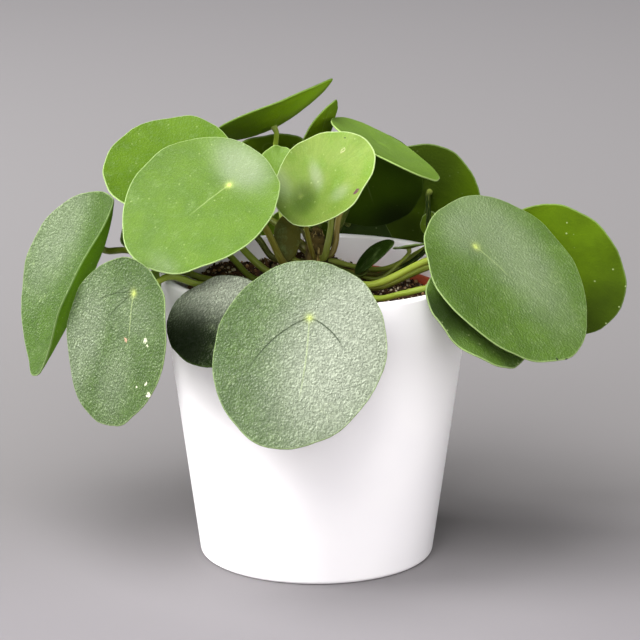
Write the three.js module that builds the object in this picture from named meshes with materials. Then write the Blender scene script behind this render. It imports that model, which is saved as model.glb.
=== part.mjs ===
// A potted Chinese money plant: round leaves on long stalks, in a plain white tapered pot.
// Millimetres, +Z up. The origin is the middle of the pot's foot, and -Y is the side seen first.
import * as THREE from "three";
import { mergeVertices } from "three/addons/utils/BufferGeometryUtils.js";

const MERGE_DISTANCE = 1e-4;
const GAP = 0.3; // between pieces that touch on the real plant

// Pot: a straight taper, a small round at the foot and a rounded rim.
const POT_HEIGHT = 131;
const POT_RIM_RADIUS = 70;
const POT_FOOT_RADIUS = 52.8;
const POT_WALL = 3.6;
const POT_FLOOR = 6;
const POT_FOOT_ROUND = 2.2;
const POT_CORNER = 3; // bevel between the floor and the wall inside
const POT_SIDES = 64;

// Grower's pot that stands inside it.
const LINER_HEIGHT = 113;
const LINER_RIM_RADIUS = 60;
const LINER_FOOT_RADIUS = 45;
const LINER_WALL = 1.4;
const LINER_LIP = 1.6;
const LINER_LIP_HEIGHT = 5;
const LINER_SIDES = 48;
const LINER_BOTTOM = POT_FLOOR + GAP;
const LINER_TOP = LINER_BOTTOM + LINER_HEIGHT;

// Soil: radius and height of its heaped surface, from the stem outwards.
const SOIL_SURFACE = [
  [9, 123.2], [14, 122.8], [20, 122.2], [27, 121.3], [35, 120.2], [43, 119], [50, 117.8], [54, 117],
];
const SOIL_EDGE_HEIGHT = 115;
const SOIL_SIDES = 40;
const SOIL_LUMP = 0.5;
const SOIL_HEAPS = [
  { at: [-4, 22], height: 11, spread: [18, 9] }, // behind the stem
  { at: [-46, 22], height: 8, spread: [14, 18] }, // over the grower's pot at the left
];

// Stem: radius and height of its scarred outline, from the buried foot to the growing tip.
const STEM_FOOT_HEIGHT = 100;
const STEM_RADIUS = 6.2;
const STEM_PROFILE = [
  [5, STEM_FOOT_HEIGHT], [6, 118], [STEM_RADIUS, 127.5], [5.5, 129.5], [5.9, 131.5], [5.1, 134],
  [5.4, 136], [4.6, 138.5], [4.8, 140.5], [3.8, 143], [4, 145], [2.9, 147], [1.5, 149.5],
];
const STEM_SIDES = 16;
const STEM_TIP = 150;

// Leaves.
const BLADE_THICKNESS = 0.8;
const BLADE_RINGS = 3;
const MARGIN_POINTS = [[60, 28], [30, 24], [0, 16]]; // for a blade that is longer than, so many
const STALK_SIDES = 6;
const STALK_STEPS = 14;
const STALK_LEAD = 3; // straight run under the blade, in radii of the stalk
const TIP_SHARPNESS = 16; // higher, and the point at the tip is narrower

const MATERIALS = {
  pot: material("white_ceramic", 0xf2f1ef, 0.35),
  liner: material("terracotta_plastic", 0x9c4a30, 0.6),
  soil: material("potting_soil", 0x33241a, 0.95),
  stem: material("stem_bark", 0x6d5a33, 0.8),
  leaf: material("leaf_green", 0x5c8a3c, 0.5),
  stalk: material("stalk_green", 0x95a848, 0.5),
};

/* One entry for each leaf, in millimetres and degrees.
   hub: where the stalk meets the blade. face: the way the upper side looks, as the heading that it
   leans toward, the nod from level, and the spin of the tip from the steepest way down.
   size: length, width, and the share of the length behind the hub. tip: narrowing toward the tip,
   and how far a point stands out there. form: rise of the whole margin over the hub, then of the two
   ends and of the two sides. thick: the stalk's radius. stalk: its way from the stem to the blade. */
const LEAVES = [
  { name: "01", hub: [-38, -30, 175.5], face: [254, 41, -41], size: [71.5, 68.5, 0.28], tip: [0.03, 1],
    form: [2, -3, 2], thick: 1.6,
    stalk: [[-5.7, -2.7, 131.9], [-10.5, -6, 132], [-14.5, -8.5, 135], [-23, -15, 153.5]] },
  { name: "02", hub: [-62, 8.5, 178.4], face: [267, 31, -20], size: [64.5, 58, 0.38], tip: [0, 0.5],
    form: [3.5, 1.5, 0], thick: 1.6,
    stalk: [[-6.7, -1.2, 128.5], [-15, -5, 128.2], [-22, -6.5, 131.2], [-33, -3, 140.7]] },
  { name: "03", hub: [-98, 8, 138.5], face: [197, 66, -2], size: [86, 80, 0.28], tip: [0.11, 2.5],
    form: [4, 0.5, 13.5], thick: 1.6,
    stalk: [[-5.7, -3.6, 125.9], [-28, -14, 126.8], [-49, -15, 129.7], [-67, -10, 135.5], [-84, 2, 138.5]] },
  { name: "04", hub: [-78.5, -58, 134], face: [224, 77, -16], size: [72.5, 65, 0.19], tip: [0, 2.5],
    form: [1, -2, 0.5], thick: 1.6,
    stalk: [[-3.8, -5.6, 129.2], [-33, -27, 129.2], [-51.5, -38, 133], [-64, -47, 138.5]] },
  { name: "05", hub: [-43.5, -66, 129.6], face: [243, 53, 22], size: [42.5, 46.5, 0.37], tip: [0.07, 0],
    form: [-2, 0, 0.5], thick: 1.4,
    stalk: [[-2.3, -6.4, 125.9], [-11, -23, 126.6], [-21, -38, 129], [-35.5, -58.5, 134]] },
  { name: "06", hub: [-3, -86, 130.5], face: [259, 60, -13.5], size: [80.5, 73.5, 0.32], tip: [0, 3],
    form: [-3.5, 0.5, 0.5], thick: 1.7,
    stalk: [[0, -6.4, 129.4], [-1.5, -38, 129], [-2.5, -66, 135.8]] },
  { name: "07", hub: [-7, -17, 167.5], face: [234, 54, 125], size: [48.5, 45.5, 0.21], tip: [0.07, 2],
    form: [5.5, 0, 0.5], thick: 1.1,
    stalk: [[-1.3, -6.2, 137.5], [-2.5, -8.5, 142], [-4.5, -12, 152]] },
  { name: "08", hub: [-20, 46, 187], face: [141, 34, 147], size: [64, 59, 0.29], tip: [0.04, 1],
    form: [3.5, -2, 2], thick: 1.3,
    stalk: [[-6.3, 0.6, 132.5], [-10.8, 1.5, 135], [-13.2, 3, 140], [-15.7, 12, 153], [-19, 35, 174]] },
  { name: "09", hub: [-20, 64, 165.7], face: [100, 52, 6.5], size: [47, 43, 0.35], tip: [0.06, 1],
    form: [3.5, 0.5, 0], thick: 1.4,
    stalk: [[-2.3, 5.3, 140], [-4.5, 10, 143], [-9, 28, 151]] },
  { name: "10", hub: [1.5, 24, 186], face: [149, 69, 158], size: [27.5, 25, 0.29], tip: [0.1, 3],
    form: [1.5, -2, 0], thick: 1.4,
    stalk: [[3.4, -5.6, 137], [4.5, -6.5, 141.5], [6.4, -4, 153]] },
  { name: "11", hub: [28.3, 22, 183.2], face: [0, 27.5, -80], size: [65, 54, 0.29], tip: [0.04, 1],
    form: [2, 0.5, -1], thick: 1.3,
    stalk: [[6.4, -0.7, 137.5], [8.4, -0.4, 142], [10, 4, 154]] },
  { name: "12", hub: [52.5, 58, 153.5], face: [68, 77, 15.5], size: [58.5, 50, 0.4], tip: [0.04, 1],
    form: [1.5, 0, -1], thick: 1.2,
    stalk: [[6.5, 1.6, 129.5], [17, 3.4, 128], [29.8, 4.8, 126.9], [48.6, 18, 134.5], [51, 38, 144]] },
  { name: "13", hub: [-17.5, 5, 175.3], face: [262, 48, 180], size: [16.5, 16, 0.36], tip: [0.05, 0.5],
    form: [1.5, 0, 1.5], thick: 0.9,
    stalk: [[-3.2, 3.6, 145], [-7, 7, 151], [-12.5, 9, 162]] },
  { name: "14", hub: [69, -38, 150], face: [308, 47, 27.5], size: [84, 77.5, 0.27], tip: [0.04, 2],
    form: [0, -2, 1], thick: 1.7,
    stalk: [[4.7, -5, 129], [24, -20, 128.2], [48.6, -27, 140.8]] },
  { name: "15", hub: [98.5, 18, 129.5], face: [78, 77, -54], size: [68, 66.5, 0.36], tip: [0.08, 1],
    form: [0.5, 0, 0.5], thick: 1.5,
    stalk: [[5.9, -3.3, 125.9], [15, -8, 125.6], [27, -12, 125.1], [48.6, -3, 131.7], [68, 4, 135]] },
  { name: "16", hub: [61, -54, 129], face: [328, 43, 25], size: [54, 49.5, 0.29], tip: [0.09, 0],
    form: [-1.5, -0.5, 0], thick: 1.4,
    stalk: [[2.5, -6.2, 125.9], [14, -22, 126.2], [27, -40, 127], [38, -46, 131], [51, -49.5, 133.7]] },
  { name: "17", hub: [19, -6, 134.5], face: [193, 53, 160], size: [20, 14, 0.21], tip: [0, 1.5],
    form: [0.5, -1.5, -0.5], thick: 0.8,
    stalk: [[5.6, -2.4, 133.5], [12, -5.5, 131.6], [19, -8, 129.3], [22.6, -6.8, 131.2]] },
  { name: "18", hub: [41, 6, 139.5], face: [120, 17, -90], size: [17, 15, 0.42], tip: [0.05, 0.5],
    form: [0.5, 0, 0], thick: 0.9,
    stalk: [[6.3, -1, 131.4], [17, -2, 128.4], [28, -3, 126.9], [36, -1, 132.5]] },
  { name: "19", hub: [20.5, 50, 167], face: [88, 63, -15.5], size: [56.5, 52.5, 0.34], tip: [0.06, 0.5],
    form: [0.5, 0.5, 0], thick: 1.5,
    stalk: [[3.8, 4.4, 139], [7, 9, 142], [13, 24, 151]] },
  { name: "20", hub: [15, 83, 134], face: [84, 76, -90], size: [50, 46, 0.3], tip: [0.05, 1],
    form: [-2, 0, 0], thick: 1.5,
    stalk: [[-0.2, 5.8, 137], [-3.5, 18, 138], [-2.5, 45, 137.5], [2, 64, 138], [10, 77, 137.5]] },
  { name: "21", hub: [59.5, 47, 136], face: [40, 62, 0], size: [36, 32, 0.35], tip: [0.05, 1],
    form: [-1, 0, 0], thick: 1.2,
    stalk: [[5.7, 2.9, 133.5], [17, 7, 130], [30, 12, 127.6], [47, 22, 133.5], [56, 37, 136.5]] },
  { name: "22", hub: [-13, -1.5, 149.5], face: [268, 82, 0], size: [20, 12, 0.3], tip: [0.05, 1],
    form: [0.5, 0, 0.5], thick: 0.7,
    stalk: [[-3, -0.4, 148.5], [-7, 2, 149.5]] },
  { name: "23", hub: [1.5, 14, 148], face: [85, 70, 0], size: [12, 10, 0.3], tip: [0.05, 1],
    form: [-1, 0, 0], thick: 0.9,
    stalk: [[0.4, 4.9, 144], [1.2, 9, 147.6]] },
  { name: "24", hub: [-62, 38, 156], face: [140, 40, 0], size: [54, 50, 0.28], tip: [0.06, 1],
    form: [-1, -1, 0], thick: 1.6,
    stalk: [[-5, 3.4, 139.5], [-9, 9, 142], [-24, 24, 149.5], [-44, 33, 153.5]] },
  { name: "25", hub: [-46, 78, 124], face: [118, 68, 8], size: [56, 52, 0.28], tip: [0.06, 2],
    form: [-2, -1, 0], thick: 1.5,
    stalk: [[-5, 4.4, 132.5], [-12, 9.5, 132], [-19.5, 13, 132.4], [-27, 18, 141], [-41, 46, 141]] },
  { name: "26", hub: [-7, 93, 126], face: [90, 78, -6], size: [54, 48, 0.28], tip: [0.06, 2],
    form: [-2, -1, 0], thick: 1.5,
    stalk: [[-3.1, 4.9, 136.5], [-9, 18, 138], [-11, 42, 137.5], [-12, 66, 138.5]] },
  { name: "27", hub: [-60, 30, 140], face: [160, 55, -5], size: [50, 47, 0.3], tip: [0.06, 1],
    form: [-1, -1, 0], thick: 1.4,
    stalk: [[-6.5, 1.8, 126.6], [-17, -0.6, 126.4], [-27.5, -2, 126.4], [-38.7, 6, 134.9], [-50, 19, 140]] },
];

/** Makes one of the part's materials. */
function material(name, color, roughness) {
  const made = new THREE.MeshStandardMaterial({ color, roughness, metalness: 0 });
  made.name = name;
  return made;
}

/** Turns degrees into radians. */
function radians(degrees) {
  return THREE.MathUtils.degToRad(degrees);
}

/** Signed volume that the triangles enclose. */
function volume(geometry) {
  const corners = [new THREE.Vector3(), new THREE.Vector3(), new THREE.Vector3()];
  const index = geometry.index.array;
  let sum = 0;
  for (let i = 0; i < index.length; i += 3) {
    corners.forEach((corner, k) => corner.fromBufferAttribute(geometry.attributes.position, index[i + k]));
    sum += corners[0].dot(corners[1].cross(corners[2])) / 6;
  }
  return sum;
}

/** Joins shared corners, drops flat triangles and turns the surface outwards. */
function closed(geometry) {
  geometry.deleteAttribute("normal");
  geometry.deleteAttribute("uv");
  const merged = mergeVertices(geometry, MERGE_DISTANCE);
  const kept = [];
  const index = merged.index.array;
  for (let i = 0; i < index.length; i += 3) {
    const [a, b, c] = [index[i], index[i + 1], index[i + 2]];
    if (a !== b && b !== c && c !== a) {
      kept.push([a, b, c]);
    }
  }
  merged.setIndex(kept.flat());
  if (volume(merged) < 0) {
    merged.setIndex(kept.flatMap(([a, b, c]) => [a, c, b]));
  }
  merged.computeVertexNormals();
  return merged;
}

/** Turns an outline of [radius, height] pairs about +Z. */
function turned(outline, sides) {
  const points = outline.map(([radius, height]) => new THREE.Vector2(radius, height));
  const geometry = new THREE.LatheGeometry(points, sides);
  geometry.rotateX(Math.PI / 2);
  return geometry;
}

/** Names a mesh and gives it its material. */
function piece(name, geometry, surface) {
  const mesh = new THREE.Mesh(closed(geometry), surface);
  mesh.name = name;
  return mesh;
}

/** Points of an arc in the turned outline, about a centre, between two angles in degrees. */
function arc([radius, height], size, from, to, steps) {
  const points = [];
  for (let i = 0; i <= steps; i += 1) {
    const angle = radians(from + ((to - from) * i) / steps);
    points.push([radius + size * Math.cos(angle), height + size * Math.sin(angle)]);
  }
  return points;
}

/** The white pot, open at the top, with its lip rounded over. */
function pot() {
  const slope = (POT_RIM_RADIUS - POT_FOOT_RADIUS) / POT_HEIGHT;
  const lean = THREE.MathUtils.radToDeg(Math.atan(slope));
  const lip = POT_WALL / 2;
  const inside = (height) => POT_FOOT_RADIUS + slope * height - POT_WALL;
  const outline = [
    [0, 0],
    ...arc([POT_FOOT_RADIUS - POT_FOOT_ROUND, POT_FOOT_ROUND], POT_FOOT_ROUND, -90, -lean, 3),
    ...arc([POT_RIM_RADIUS - lip, POT_HEIGHT - lip], lip, 0, 180, 6),
    [inside(POT_FLOOR + POT_CORNER), POT_FLOOR + POT_CORNER],
    [inside(POT_FLOOR) - POT_CORNER, POT_FLOOR],
    [0, POT_FLOOR],
  ];
  return piece("pot", turned(outline, POT_SIDES), MATERIALS.pot);
}

/** The grower's pot, a thin tapered shell with a lip at its rim. */
function liner() {
  const outline = [
    [0, LINER_BOTTOM],
    [LINER_FOOT_RADIUS, LINER_BOTTOM],
    [LINER_RIM_RADIUS - LINER_LIP, LINER_TOP - LINER_LIP_HEIGHT],
    [LINER_RIM_RADIUS, LINER_TOP - LINER_LIP_HEIGHT],
    [LINER_RIM_RADIUS, LINER_TOP],
    [LINER_RIM_RADIUS - LINER_LIP - LINER_WALL, LINER_TOP],
    [LINER_FOOT_RADIUS - LINER_WALL, LINER_BOTTOM + LINER_WALL],
    [0, LINER_BOTTOM + LINER_WALL],
  ];
  return piece("liner", turned(outline, LINER_SIDES), MATERIALS.liner);
}

/** Inner radius of the grower's pot at a height. */
function linerInside(height) {
  const low = LINER_BOTTOM + LINER_WALL;
  const share = (height - low) / (LINER_TOP - low);
  const foot = LINER_FOOT_RADIUS - LINER_WALL;
  return foot + share * (LINER_RIM_RADIUS - LINER_LIP - LINER_WALL - foot);
}

/** How far the soil's surface stands over its even slope: lumps and heaps. */
function soilRise(x, y) {
  const radius = Math.hypot(x, y);
  const turn = Math.atan2(y, x);
  let rise = SOIL_LUMP * Math.sin(5 * turn + radius / 3) * Math.cos(3 * turn - radius);
  for (const heap of SOIL_HEAPS) {
    const aside = (x - heap.at[0]) / heap.spread[0];
    const behind = (y - heap.at[1]) / heap.spread[1];
    rise += heap.height * Math.exp(-(aside ** 2 + behind ** 2) / 2);
  }
  return rise;
}

/** The soil, heaped round the stem, with a plain hole that the stem's foot stands in. */
function soil() {
  const floor = LINER_BOTTOM + LINER_WALL + GAP;
  const hole = STEM_RADIUS + GAP;
  const outline = [
    [0, STEM_FOOT_HEIGHT - GAP],
    [hole, STEM_FOOT_HEIGHT - GAP],
    [hole, SOIL_SURFACE[0][1]],
    ...SOIL_SURFACE,
    [linerInside(SOIL_EDGE_HEIGHT) - GAP, SOIL_EDGE_HEIGHT],
    [linerInside(floor) - GAP, floor],
    [0, floor],
  ];
  const geometry = turned(outline, SOIL_SIDES);
  const place = geometry.attributes.position;
  for (let i = 0; i < place.count; i += 1) {
    if (place.getZ(i) > SOIL_EDGE_HEIGHT + 1) {
      place.setZ(i, place.getZ(i) + soilRise(place.getX(i), place.getY(i)));
    }
  }
  return piece("soil", geometry, MATERIALS.soil);
}

/** The short woody stem with the scars of old leaves. */
function stem() {
  const outline = [[0, STEM_FOOT_HEIGHT], ...STEM_PROFILE, [0, STEM_TIP]];
  return piece("stem", turned(outline, STEM_SIDES), MATERIALS.stem);
}

/** The turn that takes a level blade, with its tip along +X, to the leaf's own face. */
function faceTurn([heading, nod, spin]) {
  const up = new THREE.Vector3(0, 0, 1);
  const turn = new THREE.Quaternion().setFromAxisAngle(up, radians(heading));
  turn.multiply(new THREE.Quaternion().setFromAxisAngle(new THREE.Vector3(0, 1, 0), radians(nod)));
  return turn.multiply(new THREE.Quaternion().setFromAxisAngle(up, radians(spin)));
}

/** A point of the blade's upper side, at a share of the way out and an angle round the hub. */
function bladePoint(leaf, share, angle) {
  const [length, width, behind] = leaf.size;
  const [taper, point] = leaf.tip;
  const [margin, ends, sides] = leaf.form;
  const along = (0.5 - behind) * length + (length / 2) * Math.cos(angle)
    + point * Math.cos(angle / 2) ** TIP_SHARPNESS;
  const across = (width / 2) * Math.sin(angle) * (1 - taper * Math.cos(angle));
  const rise = margin + ends * (along / (length / 2)) ** 2 + sides * (across / (width / 2)) ** 2;
  return [share * along, share * across, share * share * rise];
}

/** One round blade: the same rings of triangles on both sides, joined at the margin. */
function blade(leaf) {
  const [, count] = MARGIN_POINTS.find(([length]) => leaf.size[0] > length);
  const corners = [[0, 0, 0]];
  for (let ring = 1; ring <= BLADE_RINGS; ring += 1) {
    for (let i = 0; i < count; i += 1) {
      corners.push(bladePoint(leaf, ring / BLADE_RINGS, (2 * Math.PI * i) / count));
    }
  }
  const under = corners.length;
  corners.slice().forEach(([x, y, z]) => corners.push([x, y, z - BLADE_THICKNESS]));
  const faces = [];
  const at = (ring, i) => 1 + (ring - 1) * count + (i % count);
  const bothSides = (a, b, c) => faces.push([a, b, c], [a + under, c + under, b + under]);
  for (let i = 0; i < count; i += 1) {
    bothSides(0, at(1, i), at(1, i + 1));
    for (let ring = 1; ring < BLADE_RINGS; ring += 1) {
      bothSides(at(ring, i), at(ring + 1, i), at(ring + 1, i + 1));
      bothSides(at(ring, i), at(ring + 1, i + 1), at(ring, i + 1));
    }
    const [a, b] = [at(BLADE_RINGS, i), at(BLADE_RINGS, i + 1)];
    faces.push([a, a + under, b + under], [a, b + under, b]);
  }
  const geometry = new THREE.BufferGeometry();
  geometry.setAttribute("position", new THREE.Float32BufferAttribute(corners.flat(), 3));
  geometry.setIndex(faces.flat());
  const mesh = piece(`leaf_${leaf.name}`, geometry, MATERIALS.leaf);
  mesh.quaternion.copy(faceTurn(leaf.face));
  mesh.position.set(...leaf.hub);
  return mesh;
}

/** One leaf stalk, from the stem to just under the hub of its blade. */
function stalk(leaf) {
  const hub = new THREE.Vector3(...leaf.hub);
  const down = new THREE.Vector3(0, 0, -1).applyQuaternion(faceTurn(leaf.face));
  const end = hub.clone().addScaledVector(down, BLADE_THICKNESS + GAP);
  const lead = hub.clone().addScaledVector(down, STALK_LEAD * leaf.thick);
  const way = leaf.stalk.map((point) => new THREE.Vector3(...point));
  const path = new THREE.CatmullRomCurve3([...way, lead, lead.clone().lerp(end, 0.5), end]);
  const corners = [];
  for (let i = 0; i < STALK_SIDES; i += 1) {
    const angle = (2 * Math.PI * i) / STALK_SIDES;
    corners.push(new THREE.Vector2(Math.cos(angle), Math.sin(angle)).multiplyScalar(leaf.thick));
  }
  const along = { steps: STALK_STEPS, extrudePath: path, bevelEnabled: false };
  const geometry = new THREE.ExtrudeGeometry(new THREE.Shape(corners), along);
  return piece(`stalk_${leaf.name}`, geometry, MATERIALS.stalk);
}

const group = new THREE.Group();
group.add(pot(), liner(), soil(), stem());
for (const leaf of LEAVES) {
  group.add(blade(leaf), stalk(leaf));
}

export default group;
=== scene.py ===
"""A potted Chinese money plant, dressed over its solid model.

Sizes are read in millimetres and made metres as each mesh is placed. The origin is the middle of
the pot's foot, +Z is up, and -Y is the side seen first.
"""
import logging
import math
from dataclasses import dataclass
from enum import Enum

import bpy
import numpy as np
from mathutils import Matrix, Vector, noise

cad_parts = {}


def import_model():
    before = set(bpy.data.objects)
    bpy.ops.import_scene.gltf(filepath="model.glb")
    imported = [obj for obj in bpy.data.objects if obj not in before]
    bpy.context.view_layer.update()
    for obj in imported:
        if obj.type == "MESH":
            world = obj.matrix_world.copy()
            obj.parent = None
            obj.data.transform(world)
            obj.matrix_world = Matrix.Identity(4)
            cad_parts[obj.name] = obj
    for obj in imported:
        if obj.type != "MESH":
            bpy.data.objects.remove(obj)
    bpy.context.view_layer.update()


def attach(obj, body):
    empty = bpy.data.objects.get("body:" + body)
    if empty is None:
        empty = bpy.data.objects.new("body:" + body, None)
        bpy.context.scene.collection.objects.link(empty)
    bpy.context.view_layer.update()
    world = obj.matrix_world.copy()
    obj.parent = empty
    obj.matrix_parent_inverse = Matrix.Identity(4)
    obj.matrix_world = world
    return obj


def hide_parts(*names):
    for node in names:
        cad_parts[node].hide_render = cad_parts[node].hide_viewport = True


LOG = logging.getLogger("plant")
MM = 0.001
BODY = "root"
SEED = 7
# Distance from the hub, in millimetres, at which the bend of a blade's rib is told.
BEND_AT = 40.0

Colour = tuple[float, float, float, float]
Point = tuple[float, float, float]
Pair = tuple[float, float]
Key = int | str


def colour(red: int, green: int, blue: int) -> Colour:
    """Turns a colour as a screen shows it into the values that light uses.

    Args:
        red: Its red, 0 to 255.
        green: Its green.
        blue: Its blue.

    Returns:
        The three values, and 1 for its cover.
    """
    channels = (red, green, blue)
    return (*(((c / 255 + 0.055) / 1.055) ** 2.4 if c > 10 else c / 3294.6 for c in channels), 1.0)


# Nodes of a material.


class Wire:
    """One output of a material's nodes, which takes part in sums as a number does."""

    def __init__(self, book: "NodeBook", socket: bpy.types.NodeSocket) -> None:
        """Keeps the output and the material that it is in.

        Args:
            book: The material's nodes.
            socket: The output.
        """
        self.book = book
        self.socket = socket

    def maths(
        self, operation: str, other: "Wire | float" = 0.0, turned: bool = False,
    ) -> "Wire":
        """Adds a Math node for this output and another value.

        Args:
            operation: What the node does.
            other: The second value, where the operation takes two.
            turned: True where the other value comes first.

        Returns:
            The node's output.
        """
        first, second = (other, self) if turned else (self, other)
        return self.book.node("ShaderNodeMath", {"operation": operation}, {0: first, 1: second})

    def __add__(self, other: "Wire | float") -> "Wire":
        """Sum."""
        return self.maths("ADD", other)

    def __radd__(self, other: "Wire | float") -> "Wire":
        """Sum with a number in front."""
        return self.maths("ADD", other, True)

    def __sub__(self, other: "Wire | float") -> "Wire":
        """Difference."""
        return self.maths("SUBTRACT", other)

    def __rsub__(self, other: "Wire | float") -> "Wire":
        """Difference with a number in front."""
        return self.maths("SUBTRACT", other, True)

    def __mul__(self, other: "Wire | float") -> "Wire":
        """Product."""
        return self.maths("MULTIPLY", other)

    def __rmul__(self, other: "Wire | float") -> "Wire":
        """Product with a number in front."""
        return self.maths("MULTIPLY", other, True)

    def most(self, other: "Wire | float") -> "Wire":
        """The larger of this value and another."""
        return self.maths("MAXIMUM", other)


Value = Wire | float | Point | Colour


class NodeBook:
    """The nodes of one material, added by name."""

    def __init__(self, name: str) -> None:
        """Starts an empty material.

        Args:
            name: The material's name.
        """
        self.material = bpy.data.materials.new(name)
        self.material.use_nodes = True
        self.tree = self.material.node_tree
        self.tree.nodes.clear()
        self.place = self.node("ShaderNodeTexCoord", {}, {}, "Object")

    def node(
        self, kind: str, settings: dict[str, str], inputs: dict[Key, Value], output: Key = 0,
    ) -> Wire:
        """Adds a node.

        Args:
            kind: The node's type.
            settings: Its own settings, set before its sockets.
            inputs: The value or the wire for each socket, by the socket's name or number.
            output: The name or number of the output to give back.

        Returns:
            The output asked for.
        """
        made = self.tree.nodes.new(kind)
        for key, value in settings.items():
            setattr(made, key, value)
        for key, value in inputs.items():
            if isinstance(value, Wire):
                self.tree.links.new(value.socket, made.inputs[key])
            else:
                made.inputs[key].default_value = value
        return Wire(self, made.outputs[output])

    def vector(self, operation: str, *values: Value, output: Key = 0) -> Wire:
        """Adds a Vector Math node.

        Args:
            operation: What the node does.
            values: The value or the wire for each of its sockets, in order.
            output: The name or number of the output to give back.

        Returns:
            The output asked for.
        """
        settings = {"operation": operation}
        return self.node("ShaderNodeVectorMath", settings, dict(enumerate(values)), output)

    def mix(self, share: Value, first: Value, second: Value) -> Wire:
        """Mixes two colours.

        Args:
            share: How much of the second colour there is, 0 to 1.
            first: The colour at 0.
            second: The colour at 1.

        Returns:
            The mixed colour.
        """
        # Sockets 6 and 7 and output 2 are the ones for colours.
        inputs = {0: share, 6: first, 7: second}
        return self.node("ShaderNodeMix", {"data_type": "RGBA"}, inputs, 2)

    def ease(
        self, value: Value, low: float, high: float, least: float = 0.0, most: float = 1.0,
    ) -> Wire:
        """Turns a value between two limits into a smooth step.

        Args:
            value: The value.
            low: Where the step starts.
            high: Where it ends.
            least: What it gives at the start.
            most: What it gives at the end.

        Returns:
            The step's value.
        """
        settings = {"interpolation_type": "SMOOTHSTEP"}
        inputs = {0: value, 1: low, 2: high, 3: least, 4: most}
        return self.node("ShaderNodeMapRange", settings, inputs)

    def cloud(
        self, scale: float, detail: float, at: Wire | None = None, rough: float = 0.5,
    ) -> Wire:
        """Soft noise from 0 to 1.

        Args:
            scale: Waves in a metre, or in a unit of the coordinates given.
            detail: Number of finer layers.
            at: The coordinates; the object's own where none are given.
            rough: Strength of the finer layers.

        Returns:
            The noise.
        """
        inputs = {"Vector": at or self.place, "Scale": scale, "Detail": detail, "Roughness": rough}
        return self.node("ShaderNodeTexNoise", {}, inputs)

    def cells(self, scale: float) -> Wire:
        """Distance to the nearest of many scattered points, of which a metre holds `scale`."""
        inputs = {"Vector": self.place, "Scale": scale}
        return self.node("ShaderNodeTexVoronoi", {}, inputs, "Distance")

    def parts(self, vector: Wire) -> tuple[Wire, Wire, Wire]:
        """The three numbers of a vector.

        Args:
            vector: The vector.

        Returns:
            Its first, second and third number.
        """
        first = self.node("ShaderNodeSeparateXYZ", {}, {0: vector})
        outputs = first.socket.node.outputs
        return first, Wire(self, outputs[1]), Wire(self, outputs[2])

    def chance(self, scale: float, at: Wire) -> tuple[Wire, Wire]:
        """Distance to the nearest of many scattered points, and that point's own number.

        Args:
            scale: Points in a unit of the coordinates.
            at: The coordinates.

        Returns:
            The distance and the number, 0 to 1.
        """
        found = self.node("ShaderNodeTexVoronoi", {}, {"Vector": at, "Scale": scale}, "Distance")
        number, _, _ = self.parts(Wire(self, found.socket.node.outputs["Color"]))
        return found, number

    def own(self, attribute: str) -> Wire:
        """A vector that the mesh itself carries."""
        return self.node("ShaderNodeAttribute", {"attribute_name": attribute}, {}, "Vector")

    def bump(
        self, height: Wire, depth: float, strength: float, normal: Wire | None = None,
    ) -> Wire:
        """Relief.

        Args:
            height: The relief's height, 0 to 1.
            depth: Its full depth in millimetres.
            strength: How much of it shows.
            normal: Relief that lies under it.

        Returns:
            The bent normal.
        """
        inputs = {"Height": height, "Distance": depth * MM, "Strength": strength}
        if normal is not None:
            inputs["Normal"] = normal
        return self.node("ShaderNodeBump", {}, inputs)

    def finish(self, inputs: dict[Key, Value]) -> bpy.types.Material:
        """Ends the material.

        Args:
            inputs: Values and wires of the surface.

        Returns:
            The material.
        """
        surface = self.node("ShaderNodeBsdfPrincipled", {}, inputs)
        out = self.tree.nodes.new("ShaderNodeOutputMaterial")
        self.tree.links.new(surface.socket, out.inputs["Surface"])
        return self.material


# Finishes.


@dataclass(frozen=True)
class Glaze:
    """The cover pot's smooth white glaze, with a faint unevenness.

    Args:
        white: Its own tone.
        cloudy: The tone of its soft clouds.
        roughness: Its least roughness.
    """

    white: Colour = colour(242, 239, 240)
    cloudy: Colour = colour(238, 235, 237)
    roughness: float = 0.3

    def material(self) -> bpy.types.Material:
        """Makes the finish.

        Returns:
            The material.
        """
        book = NodeBook("white_glaze")
        wide = book.cloud(18, 2)
        fine = book.cloud(900, 3)
        white = book.mix(book.ease(wide, 0.35, 0.65), self.white, self.cloudy)
        rough = self.roughness + 0.08 * wide
        relief = book.bump(book.cloud(45, 1), 0.25, 0.5)
        return book.finish({
            "Base Color": white,
            "Roughness": rough,
            "Normal": book.bump(fine, 0.02, 0.4, relief),
            "Coat Weight": 0.15,
            "Coat Roughness": 0.2,
        })


@dataclass(frozen=True)
class Terracotta:
    """The grower's pot: terracotta coloured plastic, dusty with soil, and most so toward -X.

    Args:
        clay: The plastic's tone.
        dust: The dust's tone.
    """

    clay: Colour = colour(176, 66, 28)
    dust: Colour = colour(96, 58, 40)

    def material(self) -> bpy.types.Material:
        """Makes the finish.

        Returns:
            The material.
        """
        book = NodeBook("terracotta_plastic")
        side, _, _ = book.parts(book.place)
        spots = book.ease(book.cloud(160, 5), 0.6, 0.76)
        dust = spots.most(book.ease(side, 0.02, -0.02))
        return book.finish({
            "Base Color": book.mix(dust, self.clay, self.dust),
            "Roughness": 0.45 + 0.35 * dust,
            "Normal": book.bump(book.cloud(700, 3), 0.08, 0.6),
            "Specular IOR Level": 0.25,
        })


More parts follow.
